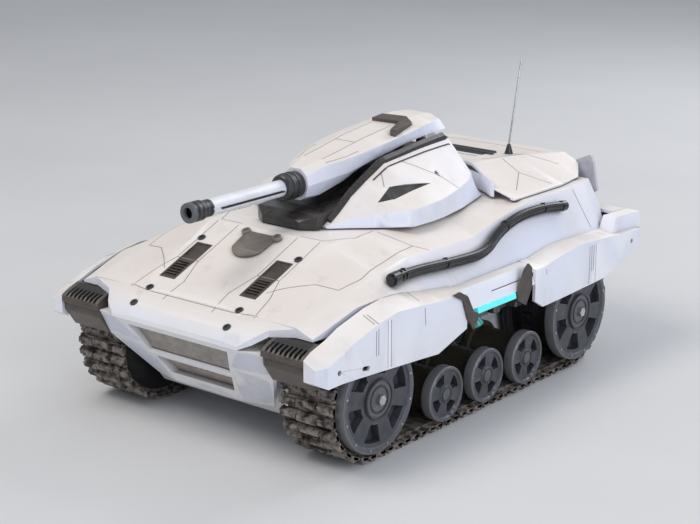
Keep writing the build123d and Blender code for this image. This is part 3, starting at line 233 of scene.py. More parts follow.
def wheel_paint(node):
    """Blue-grey disc with a painted highlight round its rim; the drum behind it is dark with fine ribs round
    it.
    """
    dark_disc, light_disc = (0.045, 0.047, 0.054), (0.090, 0.094, 0.105)
    painted_rim_highlight, worn_edge = (0.24, 0.235, 0.24), (0.34, 0.34, 0.36)
    drum = ROAD_DRUM_OLIVE if "road" in node else DRIVE_DRUM_BLACK
    low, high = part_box(node)
    radius = (high.z - low.z) / 2
    middle = centre(node)
    s = Shader("wheel_" + node)

    out_y = s.maths("SUBTRACT", s.axis(1), middle.y)
    out_z = s.maths("SUBTRACT", s.axis(2), middle.z)
    from_axle = s.maths("SQRT", s.maths("ADD", s.times(out_y, out_y), s.times(out_z, out_z)))
    # Painted highlight: a lighter ring near the rim of the disc.
    rim = s.ramp(s.maths("DIVIDE", from_axle, radius), 0.955, 0.985)
    disc = s.mix(s.ramp(s.noise(150, 6, 0.65), 0.3, 0.75), dark_disc, light_disc)
    disc = s.mix(s.times(rim, 0.6), disc, painted_rim_highlight)
    disc = s.mix(s.times(s.edges(0.50, 0.58), 0.5), disc, worn_edge)

    ribs = s.bands("X", 150)
    ribbed = s.mix(s.ramp(ribs, 0.2, 0.8), drum, tuple(0.35 * c for c in drum))
    behind = s.maths("LESS_THAN", s.maths("ABSOLUTE", s.axis(0)), WHEEL_DISC_X)
    s.set("Base Color", s.mix(behind, disc, ribbed))
    s.set("Roughness", s.ramp(s.noise(260, 4), 0.2, 0.8, 0.32, 0.55))
    s.set("Metallic", 0.25)
    ribs_behind = s.times(ribs, s.times(behind, 2.0))
    s.bump(s.maths("ADD", ribs_behind, s.noise(600, 3)), 0.3, 0.3 * MM)
    return s.material


def glow(name, base, strength):
    """Translucent light strip or lens with a soft uneven glow."""
    s = Shader(name)
    bright = s.ramp(s.noise(140, 3), 0.3, 0.7, 0.75, 1.0)
    uneven = s.mix(bright, tuple(0.6 * c for c in base), base)
    s.set("Base Color", uneven)
    s.set("Emission Color", uneven)
    s.set("Emission Strength", strength)
    s.set("Roughness", 0.22)
    s.set("Coat Weight", 0.6)
    return s.material


def steel():
    """Bright steel with faint stains and a fine grain."""
    bright, stained = (0.62, 0.62, 0.63), (0.42, 0.41, 0.40)
    s = Shader("steel")
    s.set("Base Color", s.mix(s.ramp(s.noise(200, 5), 0.35, 0.7), bright, stained))
    s.set("Metallic", 1.0)
    s.set("Roughness", s.ramp(s.noise(500, 4), 0.2, 0.8, 0.2, 0.42))
    s.bump(s.noise(1400, 2), 0.15, 0.05 * MM)
    return s.material


def smoked_glass():
    """Dark smoked window with faint smears."""
    glass, smear = (0.018, 0.017, 0.016), (0.075, 0.065, 0.055)
    s = Shader("glass_dark")
    s.set("Base Color", s.mix(s.ramp(s.noise(60, 5), 0.35, 0.7), glass, smear))
    s.set("Roughness", s.ramp(s.noise(120, 5), 0.3, 0.7, 0.08, 0.3))
    s.set("Coat Weight", 1.0)
    return s.material


def barrel_paint():
    """White sleeve with a dark muzzle end and a dark slot along each side."""
    white, stain, slot_dark = (0.76, 0.77, 0.82), (0.48, 0.46, 0.45), (0.03, 0.03, 0.035)
    muzzle_dark, muzzle_light, lip_grey = (0.010, 0.010, 0.012), (0.045, 0.045, 0.050), (0.11, 0.11, 0.12)
    muzzle_length, lip_length = 21 * MM, 3 * MM
    slot_middle_y, slot_half_length, slot_drop, slot_half_height = 62 * MM, 34 * MM, 1 * MM, 0.8 * MM
    low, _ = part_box("gun_barrel")
    axis_z = centre("gun_barrel").z
    s = Shader("barrel_paint")

    y = s.axis(1)
    muzzle = s.maths("LESS_THAN", y, low.y + muzzle_length)
    lip = s.maths("LESS_THAN", y, low.y + lip_length)
    grime = s.ramp(s.noise(60, 6, 0.65), 0.4, 0.75)
    sleeve = s.mix(s.times(grime, 0.4), white, stain)
    slot_z = s.near(s.axis(2), axis_z - slot_drop, slot_half_height)
    slot_y = s.near(y, low.y + slot_middle_y, slot_half_length)
    sleeve = s.mix(s.times(slot_z, slot_y), sleeve, slot_dark)
    rings = s.bands("Y", 70)
    dark = s.mix(s.ramp(rings, 0.3, 0.7), muzzle_dark, muzzle_light)
    dark = s.mix(lip, dark, lip_grey)
    s.set("Base Color", s.mix(muzzle, sleeve, dark))
    s.set("Roughness", s.ramp(s.noise(140, 4), 0.2, 0.8, 0.3, 0.5))
    s.bump(s.times(rings, muzzle), 0.6, 0.4 * MM)
    return s.material


def headlight_paint():
    """Dark brown-grey housing with a black window in its top."""
    housing_dark, housing_light, worn_edge = (0.030, 0.024, 0.019), (0.085, 0.070, 0.057), (0.20, 0.165, 0.14)
    window_black, window_edge = (0.005, 0.005, 0.005), (0.16, 0.145, 0.13)
    window_x, window_half, front_rim, window_depth = 99 * MM, 15.5 * MM, 2.5 * MM, 9 * MM
    low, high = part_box("headlights")
    s = Shader("headlight_paint")

    inside_x = s.near(s.maths("ABSOLUTE", s.axis(0)), window_x, window_half)
    inside_y = s.maths("GREATER_THAN", s.axis(1), low.y + front_rim)
    top = s.maths("GREATER_THAN", s.axis(2), high.z - window_depth)
    window = s.times(s.times(inside_x, inside_y), top)
    housing = s.mix(s.ramp(s.noise(120, 6, 0.65), 0.3, 0.75), housing_dark, housing_light)
    housing = s.mix(s.times(s.edges(0.50, 0.60), 0.6), housing, worn_edge)
    black = s.mix(s.times(s.edges(0.51, 0.60), 0.6), window_black, window_edge)
    s.set("Base Color", s.mix(window, housing, black))
    s.set("Roughness", s.ramp(s.noise(240, 4), 0.2, 0.8, 0.3, 0.5))
    s.bump(s.noise(700, 4), 0.35, 0.2 * MM)
    return s.material


# Plain worn finishes: base colour, colour of worn edges, and what differs from worn_plastic's own values.
WORN_FINISHES = {
    "dark_trim": ((0.018, 0.014, 0.011), (0.15, 0.12, 0.10), {"rough": 0.42}),
    "black_plastic": ((0.008, 0.008, 0.009), (0.075, 0.075, 0.078), {"rough": 0.38}),
    "hose_black": ((0.004, 0.0045, 0.005), (0.045, 0.05, 0.05), {"rough": 0.2, "scale": 60, "wear": 0.25}),
    "tail_grey": ((0.30, 0.30, 0.34), (0.70, 0.70, 0.74), {"rough": 0.45}),
    "nose_grey": ((0.24, 0.21, 0.18), (0.60, 0.56, 0.52), {}),
    "circuit": ((0.01, 0.10, 0.04), (0.10, 0.30, 0.15), {"rough": 0.4}),
    "battery_blue": ((0.02, 0.05, 0.14), (0.12, 0.18, 0.35), {"rough": 0.35}),
    "motor_steel": ((0.38, 0.38, 0.39), (0.70, 0.70, 0.70), {"rough": 0.3, "metal": 1.0}),
    "gear_nylon": ((0.62, 0.59, 0.50), (0.80, 0.78, 0.70), {"rough": 0.45}),
    "gear_metal": ((0.020, 0.021, 0.023), (0.34, 0.33, 0.33), {"rough": 0.34, "metal": 0.6}),
    "trough_black": ((0.006, 0.0055, 0.005), (0.075, 0.066, 0.058), {"rough": 0.32, "wear": 0.45}),
    "pad_grey": ((0.10, 0.085, 0.070), (0.32, 0.28, 0.24), {}),
    "line_grey": ((0.16, 0.14, 0.125), (0.32, 0.29, 0.27), {"rough": 0.7}),
}
MATERIALS = {}
for finish_name, (base_color, edge_color, more_values) in WORN_FINISHES.items():
    MATERIALS[finish_name] = worn_plastic(finish_name, base_color, edge_color, **more_values)
MATERIALS["white_shell"] = white_shell()
MATERIALS["track_rubber"] = track_dust()
MATERIALS["steel"] = steel()
MATERIALS["cyan_light"] = glow("cyan_light", (0.10, 0.72, 0.76), 0.45)
MATERIALS["teal_lens"] = glow("teal_lens", (0.01, 0.22, 0.19), 0.35)
MATERIALS["glass_dark"] = smoked_glass()
MATERIALS["barrel_paint"] = barrel_paint()
MATERIALS["headlight_paint"] = headlight_paint()

# CAD nodes shown in a finish of their own within their material slot.
OWN_FINISH = {
    "gun_barrel": "barrel_paint",
    "headlights": "headlight_paint",
    "barrel_collar": "black_plastic",
    "hull_caps": "black_plastic",
    "gun_trough": "trough_black",
    "glacis_pad": "pad_grey",
}


def dress(node, material):
    """Give a CAD node its material and soften its hard edges."""
    obj = NODES[node]
    obj.data.materials.clear()
    obj.data.materials.append(material)
    weld = obj.modifiers.new("weld", "WELD")
    weld.merge_threshold = 0.01 * MM
    bevel = obj.modifiers.new("bevel", "BEVEL")
    bevel.width = 0.45 * MM
    bevel.segments = 2
    bevel.limit_method = "ANGLE"
    bevel.angle_limit = radians(24)
    bevel.use_clamp_overlap = True


def dress_all():
    slot_of = {row["node"]: row["material_slot"] for row in frame["record"]["subparts"]}
    for node in NODES:
        if "wheel" in node:
            dress(node, wheel_paint(node))
        else:
            dress(node, MATERIALS[OWN_FINISH.get(node, slot_of[node])])


dress_all()


def piece(name, mesh_maker, body, finish, *replaced):
    """New object from a bmesh, riding on a body, with the material of a finish; it hides the CAD parts that
    it replaces.
    """
    bm = bmesh.new()
    mesh_maker(bm)
    bmesh.ops.recalc_face_normals(bm, faces=bm.faces)
    data = bpy.data.meshes.new(name)
    bm.to_mesh(data)
    bm.free()
    obj = bpy.data.objects.new(name, data)
    bpy.context.scene.collection.objects.link(obj)
    data.materials.append(MATERIALS[finish])
    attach(obj, body)
    if replaced:
        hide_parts(*replaced)
    return obj


def bevelled(obj, width):
    bevel = obj.modifiers.new("bevel", "BEVEL")
    bevel.width = width
    bevel.segments = 2
    bevel.limit_method = "ANGLE"
    bevel.angle_limit = radians(30)


def bridge(bm, first, second):
    """Band of faces between two rings of vertices."""
    count = len(first)
    for i in range(count):
        j = (i + 1) % count
        bm.faces.new((first[i], first[j], second[j], second[i]))


def loft(bm, rings):
    """Closed solid through a chain of rings of vertices."""
    for first, second in zip(rings, rings[1:]):
        bridge(bm, first, second)
    bm.faces.new(rings[0][::-1])
    bm.faces.new(rings[-1])


def prism(bm, outline, depth, matrix):
    """Closed prism: outline in the local XY plane, extruded along local Z by depth."""
    loft(bm, [[bm.verts.new(matrix @ Vector((x, y, z))) for x, y in outline] for z in (0, depth)])


def block(bm, low, high, matrix, chamfer=0.0):
    """Box between two corners, with its four edges along local Z chamfered."""
    (x0, y0, z0), (x1, y1, z1) = low, high
    outline = [(x0, y0), (x1, y0), (x1, y1), (x0, y1)]
    if chamfer > 0:
        near_side = [(x0 + chamfer, y0), (x1 - chamfer, y0), (x1, y0 + chamfer), (x1, y1 - chamfer)]
        far_side = [(x1 - chamfer, y1), (x0 + chamfer, y1), (x0, y1 - chamfer), (x0, y0 + chamfer)]
        outline = near_side + far_side
    prism(bm, outline, z1 - z0, matrix @ Matrix.Translation((0, 0, z0)))


def ring_points(radius, count):
    angles = [2 * pi * i / count for i in range(count)]
    return [(radius * cos(a), radius * sin(a)) for a in angles]


def tube(bm, points, radius, sides):
    """Closed tube along a chain of points."""
    rings = []
    for i, point in enumerate(points):
        ahead = points[min(i + 1, len(points) - 1)]
        behind = points[max(i - 1, 0)]
        turn = (ahead - behind).normalized().to_track_quat("Z", "Y").to_matrix()
        rings.append([bm.verts.new(point + turn @ Vector((x, y, 0))) for x, y in ring_points(radius, sides)])
    loft(bm, rings)


# ---------------------------------------------------------------- tracks
LINK_COUNT = 80
LINK_HEIGHT = 4.8 * MM
# Turns a prism's outline into the YZ plane and its depth along X.
ALONG_X = Matrix(((0, 0, 1, 0), (1, 0, 0, 0), (0, 1, 0, 0), (0, 0, 0, 1)))


def track_path(side):
    """Function from distance along the belt to a matrix there, whose local Z points outwards."""
    belt_low, belt_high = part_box(side + "_track_links")
    radius = (belt_high.z - belt_low.z) / 2 - LINK_HEIGHT
    axle_z = (belt_high.z + belt_low.z) / 2
    front_y = belt_low.y + radius + LINK_HEIGHT
    span = belt_high.y - radius - LINK_HEIGHT - front_y
    half_turn = pi * radius
    length = 2 * span + 2 * half_turn
    middle_x = (belt_low.x + belt_high.x) / 2

    def at(distance):
        if distance < span:
            place, turn = (front_y + span - distance, axle_z - radius), pi
        elif distance < span + half_turn:
            a = (distance - span) / radius
            place, turn = (front_y - radius * sin(a), axle_z - radius * cos(a)), pi - a
        elif distance < 2 * span + half_turn:
            place, turn = (front_y + distance - span - half_turn, axle_z + radius), 0.0
        else:
            a = (distance - 2 * span - half_turn) / radius
            place, turn = (front_y + span + radius * sin(a), axle_z + radius * cos(a)), -a
        return Matrix.Translation((middle_x, *place)) @ Matrix.Rotation(turn, 4, "X")

    return at, length, (belt_high.x - belt_low.x) / 2


def link_web(bm, matrix, half_width):
    """Flat plate of a link, under its pads."""
    inset, half_length, height = 3 * MM, 3.7 * MM, 1.9 * MM
    low = (-half_width + inset, -half_length, 0)
    high = (half_width - inset, half_length, height)
    block(bm, low, high, matrix, 0.5 * MM)


def link_pads(bm, matrix, half_width, lean):
    """Three tapered pads across a link; the middle one leans the other way from its neighbours."""
    foot_z, tip_z, half_foot, tip_front, tip_back = 0.2 * MM, 4.75 * MM, 3.3 * MM, 2.3 * MM, 2.0 * MM
    pads = ((-1, -0.42, -lean), (-0.36, 0.36, lean), (0.42, 1, -lean))
    for start, end, pad_lean in pads:
        foot, tip = pad_lean * 0.4, pad_lean * 0.5
        outline = [
            (foot - half_foot, foot_z), (foot + half_foot, foot_z),
            (tip + tip_front, tip_z), (tip - tip_back, tip_z),
        ]
        place = Matrix.Translation((start * half_width, 0, 0))
        prism(bm, outline, (end - start) * half_width, matrix @ place @ ALONG_X)


def link_ends(bm, matrix, half_width):
    """Connector that joins a link to the next one, at each end."""
    half_x, half_length, low_z, high_z = 1.4 * MM, 4.6 * MM, 0.3 * MM, 2.9 * MM
    for end in (-1, 1):
        x = end * (half_width - half_x)
        block(bm, (x - half_x, -half_length, low_z), (x + half_x, half_length, high_z), matrix, 0.9 * MM)


def belt(side):
    path_at, belt_length, half_width = track_path(side)
    pad_lean = 1.2 * MM

    def shapes(bm):
        for i in range(LINK_COUNT):
            matrix = path_at((i + 0.5) * belt_length / LINK_COUNT)
            link_web(bm, matrix, half_width)
            link_pads(bm, matrix, half_width, pad_lean if i % 2 else -pad_lean)
            link_ends(bm, matrix, half_width)

    return shapes


for side_name, _ in SIDES:
    cad_links = side_name + "_track_links"
    bevelled(piece(side_name + "_links", belt(side_name), "hull", "track_rubber", cad_links), 0.3 * MM)


# ---------------------------------------------------------------- running gear behind the wheels
def gear_boxes(bm, rng, mirror, wall_x, front, back):
    """Row of housings of uneven size, each with a raised lid."""
    low_z, lid_low_z, lid_inset, lid_drop = 60 * MM, 66 * MM, 2 * MM, 4 * MM
    y = front
    while y < back - 9 * MM:
        length = rng.uniform(7, 15) * MM
        depth = rng.uniform(20, 36) * MM
        top = rng.uniform(76, 84) * MM
        face = wall_x + depth
        block(bm, (wall_x, y, low_z), (face, y + length, top), mirror, 1.2 * MM)
        lid_low = (face - 3 * MM, y + lid_inset, lid_low_z)
        lid_high = (face + 2.5 * MM, y + length - lid_inset, top - lid_drop)
        block(bm, lid_low, lid_high, mirror, 0.8 * MM)
        y += length + rng.uniform(0.5, 2.5) * MM


def gear_pipes(bm, rng, side, wall_x, front, back):
    """Arched pipes that run along the housings."""
    pipes, steps, arch = 9, 6, 5 * MM
    for _ in range(pipes):
        start_y = rng.uniform(front, back)
        end_y = min(max(start_y + rng.uniform(-26, 26) * MM, front), back)
        x = side * (wall_x + rng.uniform(22, 38) * MM)
        z = rng.uniform(60, 80) * MM
        shares = [i / steps for i in range(steps + 1)]
        points = [Vector((x, start_y + (end_y - start_y) * t, z + arch * sin(pi * t))) for t in shares]
        tube(bm, points, rng.uniform(1.0, 1.9) * MM, 8)


def running_gear(side):
    """Bogie frame, gearboxes and pipes between the road wheels and the hull side."""
    rng = random.Random(7)
    _, hull_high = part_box("lower_hull")
    wall_x = hull_high.x + 0.3 * MM
    wheel_gap = 47 * MM
    front = centre("left_idler_wheel").y + wheel_gap
    back = centre("left_drive_wheel").y - wheel_gap
    beam_depth, beam_low_z, beam_high_z = 18 * MM, 57 * MM, 66 * MM

    def shapes(bm):
        mirror = Matrix.Diagonal((side, 1, 1, 1))
        block(bm, (wall_x, front, beam_low_z), (wall_x + beam_depth, back, beam_high_z), mirror)
        gear_boxes(bm, rng, mirror, wall_x, front, back)
        gear_pipes(bm, rng, side, wall_x, front, back)

    return shapes


def damper(side, wheel_y):
    """Coil-over damper leaning over a road wheel."""
    foot = Vector((side * 92 * MM, wheel_y - 4 * MM, 57 * MM))
    head = Vector((side * 96 * MM, wheel_y + 9 * MM, 80 * MM))
    rod_r, body_r, coil_r, wire_r = 1.6 * MM, 2.6 * MM, 4 * MM, 0.7 * MM
    body_share, coil_start, coil_share = 0.45, 0.08, 0.8
    turns, steps = 5, 60

    def shapes(bm):
        tube(bm, [foot, head], rod_r, 10)
        tube(bm, [head.lerp(foot, body_share), head], body_r, 12)
        turn = (head - foot).normalized().to_track_quat("Z", "Y").to_matrix()
        coil = []
        for i in range(steps + 1):
            a = 2 * pi * turns * i / steps
            along = foot.lerp(head, coil_start + coil_share * i / steps)
            coil.append(along + turn @ Vector((coil_r * cos(a), coil_r * sin(a), 0)))
        tube(bm, coil, wire_r, 6)

    return shapes


for side_name, side_sign in SIDES:
    bevelled(piece(side_name + "_running_gear", running_gear(side_sign), "hull", "gear_metal"), 0.4 * MM)
    for number in ROAD_NUMBERS:
        road_wheel_y = centre(f"{side_name}_road_wheel_{number}").y
        piece(f"{side_name}_damper_{number}", damper(side_sign, road_wheel_y), "hull", "steel")


# ---------------------------------------------------------------- wheel details
def outer_face(node):
    """A wheel's centre, the side of the vehicle it is on and the x of its outer face."""
    low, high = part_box(node)
    middle = (low + high) / 2
    if middle.x > 0:
        return middle, 1, high.x
    return middle, -1, low.x


def wheel_studs(node):
    """Ring of small studs in the rim of a large wheel's disc."""
    middle, side, face = outer_face(node)
    count, pitch_r, stud_r = 12, 36.6 * MM, 0.9 * MM
    stations = (-1.4 * MM, -0.1 * MM, 0.3 * MM)

    def shapes(bm):
        for i in range(count):
            a = 2 * pi * (i + 0.5) / count
            y, z = middle.y + pitch_r * cos(a), middle.z + pitch_r * sin(a)
            tube(bm, [Vector((face + side * out, y, z)) for out in stations], stud_r, 8)

    return shapes


def hub_rings(node, sizes):
    """Raised round rings on a wheel's outer face, from pairs of ring radius and section radius."""
    middle, _, face = outer_face(node)
    segments, corners = 48, 8

    def ring(bm, a, ring_r, section_r):
        section = []
        for x, out in ring_points(section_r, corners):
            r = ring_r + out
            section.append(bm.verts.new((face + x, middle.y + r * cos(a), middle.z + r * sin(a))))
        return section

    def shapes(bm):
        for ring_r, section_r in sizes:
            rings = [ring(bm, 2 * pi * i / segments, ring_r, section_r) for i in range(segments)]
            for first, second in zip(rings, rings[1:] + rings[:1]):
                bridge(bm, first, second)

    return shapes


LARGE_HUB_RINGS = ((9.5 * MM, 0.8 * MM), (14 * MM, 0.9 * MM))
SMALL_HUB_RINGS = ((5.2 * MM, 0.6 * MM),)

for side_name, _ in SIDES:
    for kind in ("drive", "idler"):
        wheel_node = f"{side_name}_{kind}_wheel"
        wheel_body = f"{side_name}_{kind}"
        piece(wheel_body + "_studs", wheel_studs(wheel_node), wheel_body, "steel")
        piece(wheel_body + "_rings", hub_rings(wheel_node, LARGE_HUB_RINGS), wheel_body, "black_plastic")
    for number in ROAD_NUMBERS:
        wheel_node = f"{side_name}_road_wheel_{number}"
        wheel_body = f"{side_name}_road_{number}"
        piece(wheel_body + "_rings", hub_rings(wheel_node, SMALL_HUB_RINGS), wheel_body, "black_plastic")


# ---------------------------------------------------------------- panel lines laid on the shells
LINE_WIDTH = 0.6 * MM
LINE_STEP = 4 * MM
LINE_LIFT = 0.09 * MM
LINE_SINK = 0.27 * MM
LINE_RAY_START = 150 * MM


def node_tree(node):
    """Ray-casting tree of a CAD node's own mesh."""
    data = NODES[node].data
    data.calc_loop_triangles()
    triangles = [tuple(t.vertices) for t in data.loop_triangles]
    return BVHTree.FromPolygons([v.co.copy() for v in data.vertices], triangles)


def surface_hits(tree, points, direction):
    """Places and outward normals where rays from a chain of points meet the surface."""
    samples = []
    for first, second in zip(points, points[1:]):
        steps = max(2, int((second - first).length / LINE_STEP))
        samples += [first.lerp(second, i / steps) for i in range(steps)]
    samples.append(points[-1])
    hits = []
    for sample in samples:
        place, normal, _, _ = tree.ray_cast(sample - direction * LINE_RAY_START, direction)
        if place is not None:
            hits.append((place, normal if normal.dot(direction) < 0 else -normal))
    return hits


def surface_line(bm, tree, points, direction):
    """Thin strip that follows a surface under a chain of points."""
    hits = surface_hits(tree, points, direction)
    rings = []
    for i, (place, normal) in enumerate(hits):
        ahead = hits[min(i + 1, len(hits) - 1)][0] - hits[max(i - 1, 0)][0]
        across = ahead.cross(normal).normalized() * LINE_WIDTH / 2
        up, down = normal * LINE_LIFT, normal * LINE_SINK
        corners = (across + up, up - across, -across - down, across - down)
        rings.append([bm.verts.new(place + corner) for corner in corners])
    if len(rings) > 1:
        loft(bm, rings)


def lines_on(name, node, body, direction, sides, chains):
    """Panel lines on a CAD node, from chains of points in mm: side 1 as written, side -1 mirrored."""
    tree = node_tree(node)

    def shapes(bm):
        for chain in chains:
            for side in sides:
                way = Vector((direction[0] * side, direction[1], direction[2]))
                points = [Vector((side * x * MM, y * MM, z * MM)) for x, y, z in chain]
                surface_line(bm, tree, points, way)

    piece(name, shapes, body, "line_grey")


BOTH_SIDES = (1, -1)
INWARDS = Vector((-1, 0, 0))
FORWARDS = Vector((0, -1, 0))

lines_on("hull_lines", "upper_hull", "hull", DOWN, BOTH_SIDES, [
    [(50, -168, 140), (60, -158, 140), (76, -145, 140), (93, -141, 140), (97, -121, 140), (90, -52, 150)],
    [(90, -52, 150), (99, -44, 150)],
    [(29, -154, 140), (29, -106, 150), (50, -106, 150), (50, -154, 140), (29, -154, 140)],
    [(29, -154, 140), (22, -176, 130), (24, -196, 130)],
    [(0, -192, 120), (40, -192, 120), (62, -190, 120)],
    [(50, -154, 140), (57, -172, 130), (60, -192, 120)],
    [(60, -62, 150), (90, -52, 150)],
    [(50, -106, 150), (62, -84, 150), (60, -62, 150)],
])
lines_on("side_lines", "upper_hull", "hull", INWARDS, BOTH_SIDES, [
    [(150, 150, 138), (150, 154, 108)],
    [(150, -62, 116), (150, -20, 119), (150, 30, 118)],
])
lines_on("rear_lines", "lower_hull", "hull", FORWARDS, BOTH_SIDES, [
    [(0, 240, 88), (70, 240, 88)],
    [(52, 240, 88), (46, 240, 66), (0, 240, 66)],
    [(60, 240, 88), (56, 240, 64), (66, 240, 50)],
    [(0, 240, 48), (66, 240, 48)],
])
FRONT_FENDER_PIECES = {"left": "fender_lines", "right": "fender_lines_right"}
for side_name, side_sign in SIDES:
    lines_on(FRONT_FENDER_PIECES[side_name], side_name + "_front_fender", "hull", INWARDS, (side_sign,), [
        [(200, -150, 118), (200, -150, 82)],
        [(200, -147.5, 118), (200, -147.5, 82)],
        [(200, -96, 112), (200, -94, 90)],
    ])
    lines_on(side_name + "_rear_fender_lines", side_name + "_rear_fender", "hull", INWARDS, (side_sign,), [
        [(200, 128, 118), (200, 128, 80)],
        [(200, 131, 118), (200, 131, 80)],
        [(200, 60, 110), (200, 62, 92)],
    ])
lines_on("turret_lines", "turret_shell", "turret", DOWN, BOTH_SIDES, [
    [(37, 4, 200), (48, 16, 200), (57, 27, 200), (72, 38, 200)],
    [(37, -22, 200), (46, -30, 200)],
])
lines_on("deck_lines", "rear_deck", "hull", DOWN, BOTH_SIDES, [
    [(36, 112, 180), (42, 130, 180), (66, 122, 180), (90, 134, 180)],
    [(66, 122, 180), (84, 92, 180)],
    [(42, 130, 180), (48, 158, 180), (70, 176, 180)],
    [(0, 184, 180), (48, 182, 180)],
])
lines_on("hood_lines", "gun_hood", "gun_cradle", DOWN, BOTH_SIDES, [
    [(14, -60, 220), (20, -42, 220), (21, -30, 220)],
    [(9, -58, 220), (10, -10, 220), (10, 24, 220)],
    [(0, -20, 220), (10, -20, 220)],
])


# ---------------------------------------------------------------- dark bars on the rear deck
# Distance in front of the antenna, half length and radius of each bar.
DECK_BARS = (
    (6 * MM, 30 * MM, 1.5 * MM),
    (13 * MM, 32 * MM, 1.5 * MM),
    (19 * MM, 26 * MM, 0.9 * MM),
)


def deck_bars(bm):
    """Three dark bars across the rear deck in front of the antenna, following its top."""
    tree = node_tree("rear_deck")
    _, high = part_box("rear_deck")
    antenna = centre("antenna_base")
    steps = 12
    lift = Vector((0, 0, 0.4 * MM))
    for ahead, half, radius in DECK_BARS:
        bar = []
        for i in range(steps + 1):
            start = Vector((-half + 2 * half * i / steps, antenna.y - ahead, high.z + RAY_START))
            bar.append(tree.ray_cast(start, DOWN)[0] + lift)
        tube(bm, bar, radius, 10)


piece("deck_bars", deck_bars, "hull", "black_plastic")


# ---------------------------------------------------------------- barrel collar's rings
def collar_rings(bm):
    """Two thin rings that stand proud of the barrel collar."""
    low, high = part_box("barrel_collar")
    middle = (low + high) / 2
    width, proud = 1.6 * MM, 0.5 * MM
    for share in (0.3, 0.62):
        y = low.y + share * (high.y - low.y)
        ends = [Vector((middle.x, y, middle.z)), Vector((middle.x, y + width, middle.z))]
        tube(bm, ends, (high.x - low.x) / 2 + proud, 32)


piece("collar_rings", collar_rings, "gun_cradle", "black_plastic")


# ---------------------------------------------------------------- hose bundles along the hull sides
# Distances along the vehicle, in mm, where the hose bends, from the front to the back.
HOSE_KNOTS = (-110, -84, -30, 8, 34, 62, 92, 120)


def hose_centres():
    """Points along the middle of the left hose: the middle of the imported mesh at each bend."""
    verts = [v.co for v in NODES["side_hoses"].data.vertices if v.co.x > 0]
    reach = 5 * MM
    points = []
    for knot in HOSE_KNOTS:
        near = [co for co in verts if abs(co.y - knot * MM) < reach]
        low = Vector([min(co[i] for co in near) for i in range(3)])
        high = Vector([max(co[i] for co in near) for i in range(3)])
        points.append((low + high) / 2)
    return points


def smooth(points):
    """Round the corners of a chain of points."""
    for _ in range(3):
        softened = [points[0]]
        for first, second in zip(points, points[1:]):
            softened += [first.lerp(second, 0.25), first.lerp(second, 0.75)]
        points = softened + [points[-1]]
    return points


def cuff(bm, point, ahead, radius, length):
    """Short sleeve centred on a point, along the way to the point ahead."""
    way = (ahead - point).normalized() * length / 2
    tube(bm, [point - way, point + way], radius, 16)


def hose_bundle(side, first_knot):
    """Main hose with two thin hoses laid on it, clamps at the bends and a chunky coupling at the front."""
    main_r, thin_r, clamp_r, end_r = 3.5 * MM, 1.35 * MM, 4.3 * MM, 4.2 * MM
    thin_places = ((1.9 * MM, -3.0 * MM), (2.6 * MM, 2.1 * MM))
    clamp_shares, clamp_length, end_length = (0.30, 0.62, 0.85), 2 * MM, 6 * MM
    # Distance from the front end, radius and length of each part of the coupling.
    coupling = ((6 * MM, 4.9 * MM, 8 * MM), (14 * MM, 4.4 * MM, 2 * MM), (18 * MM, 4.6 * MM, 2 * MM))
    middle = smooth([Vector((side * p.x, p.y, p.z)) for p in hose_centres()][first_knot:])

    def shapes(bm):
        tube(bm, middle, main_r, 16)
        for out, up in thin_places:
            tube(bm, [p + Vector((side * out, 0, up)) for p in middle[2:-2]], thin_r, 10)
        for share in clamp_shares:
            spot = int(share * (len(middle) - 2))
            cuff(bm, middle[spot], middle[spot + 1], clamp_r, clamp_length)
        start, end = middle[0], middle[-1]
        cuff(bm, end.lerp(middle[-2], 0.3), end, end_r, end_length)
        ahead = (middle[1] - start).normalized()
        for along, radius, length in coupling:
            cuff(bm, start + ahead * along, start + ahead * (along + length), radius, length)

    return shapes


# The right hose comes out of the hull two bends further back.
bevelled(piece("left_hose_bundle", hose_bundle(1, 0), "hull", "hose_black", "side_hoses"), 0.2 * MM)
bevelled(piece("right_hose_bundle", hose_bundle(-1, 2), "hull", "hose_black"), 0.2 * MM)


# ---------------------------------------------------------------- dark strips of painted shade along the turret's gun slot
# Section of the dark strip of painted shade in mm: distance from the middle plane, and height above the
# cheek's edge.
SHADE_STRIP_SECTION = ((28.2, -4), (28.2, 2.6), (29.6, 3.2), (32.6, 1.0), (33.4, -2.5))


def slot_strips(bm):
    """Dark strip of painted shade on each cheek's inner edge beside the gun slot, for the recess there, with
    a thin rail outside it.
    """
    tree = node_tree("turret_shell")
    low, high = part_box("turret_shell")
    ray_z = high.z + RAY_START
    start_y, end_y, rail_start_y = low.y + 4 * MM, high.y - 5 * MM, -36 * MM
    edge_x, rail_x, rail_lift, rail_r = 31 * MM, 36.5 * MM, Vector((0, 0, 0.2 * MM)), 0.55 * MM
    steps = 30
    for side in BOTH_SIDES:
        rings, rail = [], []
        for i in range(steps + 1):
            y = start_y + (end_y - start_y) * i / steps
            edge_z = tree.ray_cast(Vector((side * edge_x, y, ray_z)), DOWN)[0].z
            beside = tree.ray_cast(Vector((side * rail_x, y, ray_z)), DOWN)[0]
            rings.append([bm.verts.new((side * x * MM, y, edge_z + z * MM)) for x, z in SHADE_STRIP_SECTION])
            if y > rail_start_y:
                rail.append(beside + rail_lift)
        loft(bm, rings)
        tube(bm, rail, rail_r, 8)


piece("gun_slot_strips", slot_strips, "turret", "trough_black")


# ---------------------------------------------------------------- floor, light and camera
def floor():
    bm = bmesh.new()
    bmesh.ops.create_grid(bm, x_segments=8, y_segments=8, size=12.0)
    data = bpy.data.meshes.new("floor")
    bm.to_mesh(data)
    bm.free()
    obj = bpy.data.objects.new("floor", data)
    bpy.context.scene.collection.objects.link(obj)
    s = Shader("floor")
    s.set("Base Color", s.mix(s.ramp(s.noise(3, 4), 0.3, 0.7), (0.60, 0.60, 0.60), (0.64, 0.64, 0.635)))
    s.set("Roughness", 0.75)
    data.materials.append(s.material)


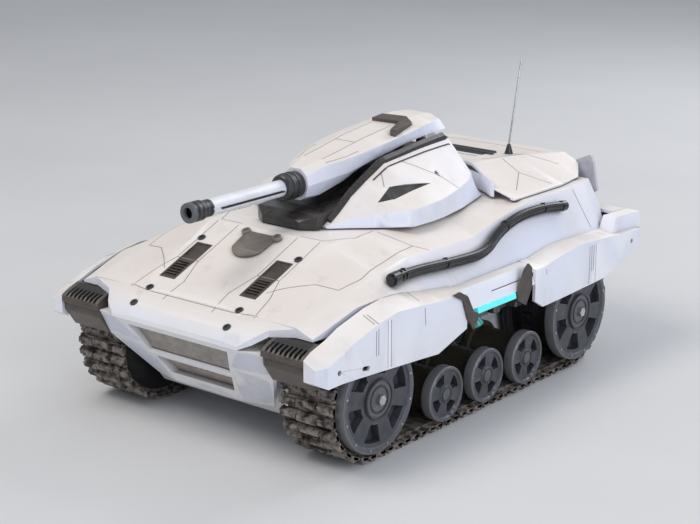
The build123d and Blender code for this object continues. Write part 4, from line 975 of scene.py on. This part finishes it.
def area_light(name, place, target, size, power, color):
    light = bpy.data.lights.new(name, "AREA")
    light.size = size
    light.energy = power
    light.color = color
    obj = bpy.data.objects.new(name, light)
    bpy.context.scene.collection.objects.link(obj)
    obj.location = place
    obj.rotation_euler = (Vector(target) - Vector(place)).to_track_quat("-Z", "Y").to_euler()


def lights():
    """Cool even surroundings, a warm key light, a cool fill light and a weak light from behind."""
    world = bpy.data.worlds.new("studio")
    world.use_nodes = True
    surroundings = world.node_tree.nodes["Background"]
    surroundings.inputs["Color"].default_value = (0.80, 0.84, 0.92, 1)
    surroundings.inputs["Strength"].default_value = 0.55
    bpy.context.scene.world = world
    bpy.context.scene.view_settings.view_transform = "Standard"
    area_light("key", (-0.5, -0.9, 1.7), (0, 0, 0.1), 0.9, 17, (1.0, 0.955, 0.90))
    area_light("fill", (1.8, -0.5, 0.8), (0, 0, 0.08), 1.4, 17, (0.86, 0.90, 1.0))
    area_light("rim", (0.2, 1.6, 1.1), (0, 0, 0.1), 1.0, 12, (0.95, 0.97, 1.0))


CAMERA_PLACE = (0.81544, -1.01769, 0.46391)
CAMERA_AZIMUTH, CAMERA_ELEVATION, CAMERA_ROLL = radians(39.087), radians(15.943), radians(0.118)
CAMERA_LENS = 88.1


def camera():
    """Camera in front of the vehicle's left corner, looking slightly down."""
    toward_x, toward_y = sin(CAMERA_AZIMUTH), -cos(CAMERA_AZIMUTH)
    level, rise = cos(CAMERA_ELEVATION), sin(CAMERA_ELEVATION)
    back = Vector((toward_x * level, toward_y * level, rise))
    right = Vector((-toward_y, toward_x, 0))
    up = back.cross(right)
    rolled_right = right * cos(CAMERA_ROLL) + up * sin(CAMERA_ROLL)
    rolled_up = up * cos(CAMERA_ROLL) - right * sin(CAMERA_ROLL)
    basis = Matrix((rolled_right, rolled_up, back)).transposed()
    data = bpy.data.cameras.new("camera")
    data.lens = CAMERA_LENS
    data.sensor_width = 36
    data.clip_start = 0.01
    obj = bpy.data.objects.new("camera", data)
    bpy.context.scene.collection.objects.link(obj)
    obj.matrix_world = Matrix.Translation(CAMERA_PLACE) @ basis.to_4x4()
    bpy.context.scene.camera = obj


floor()
lights()
camera()
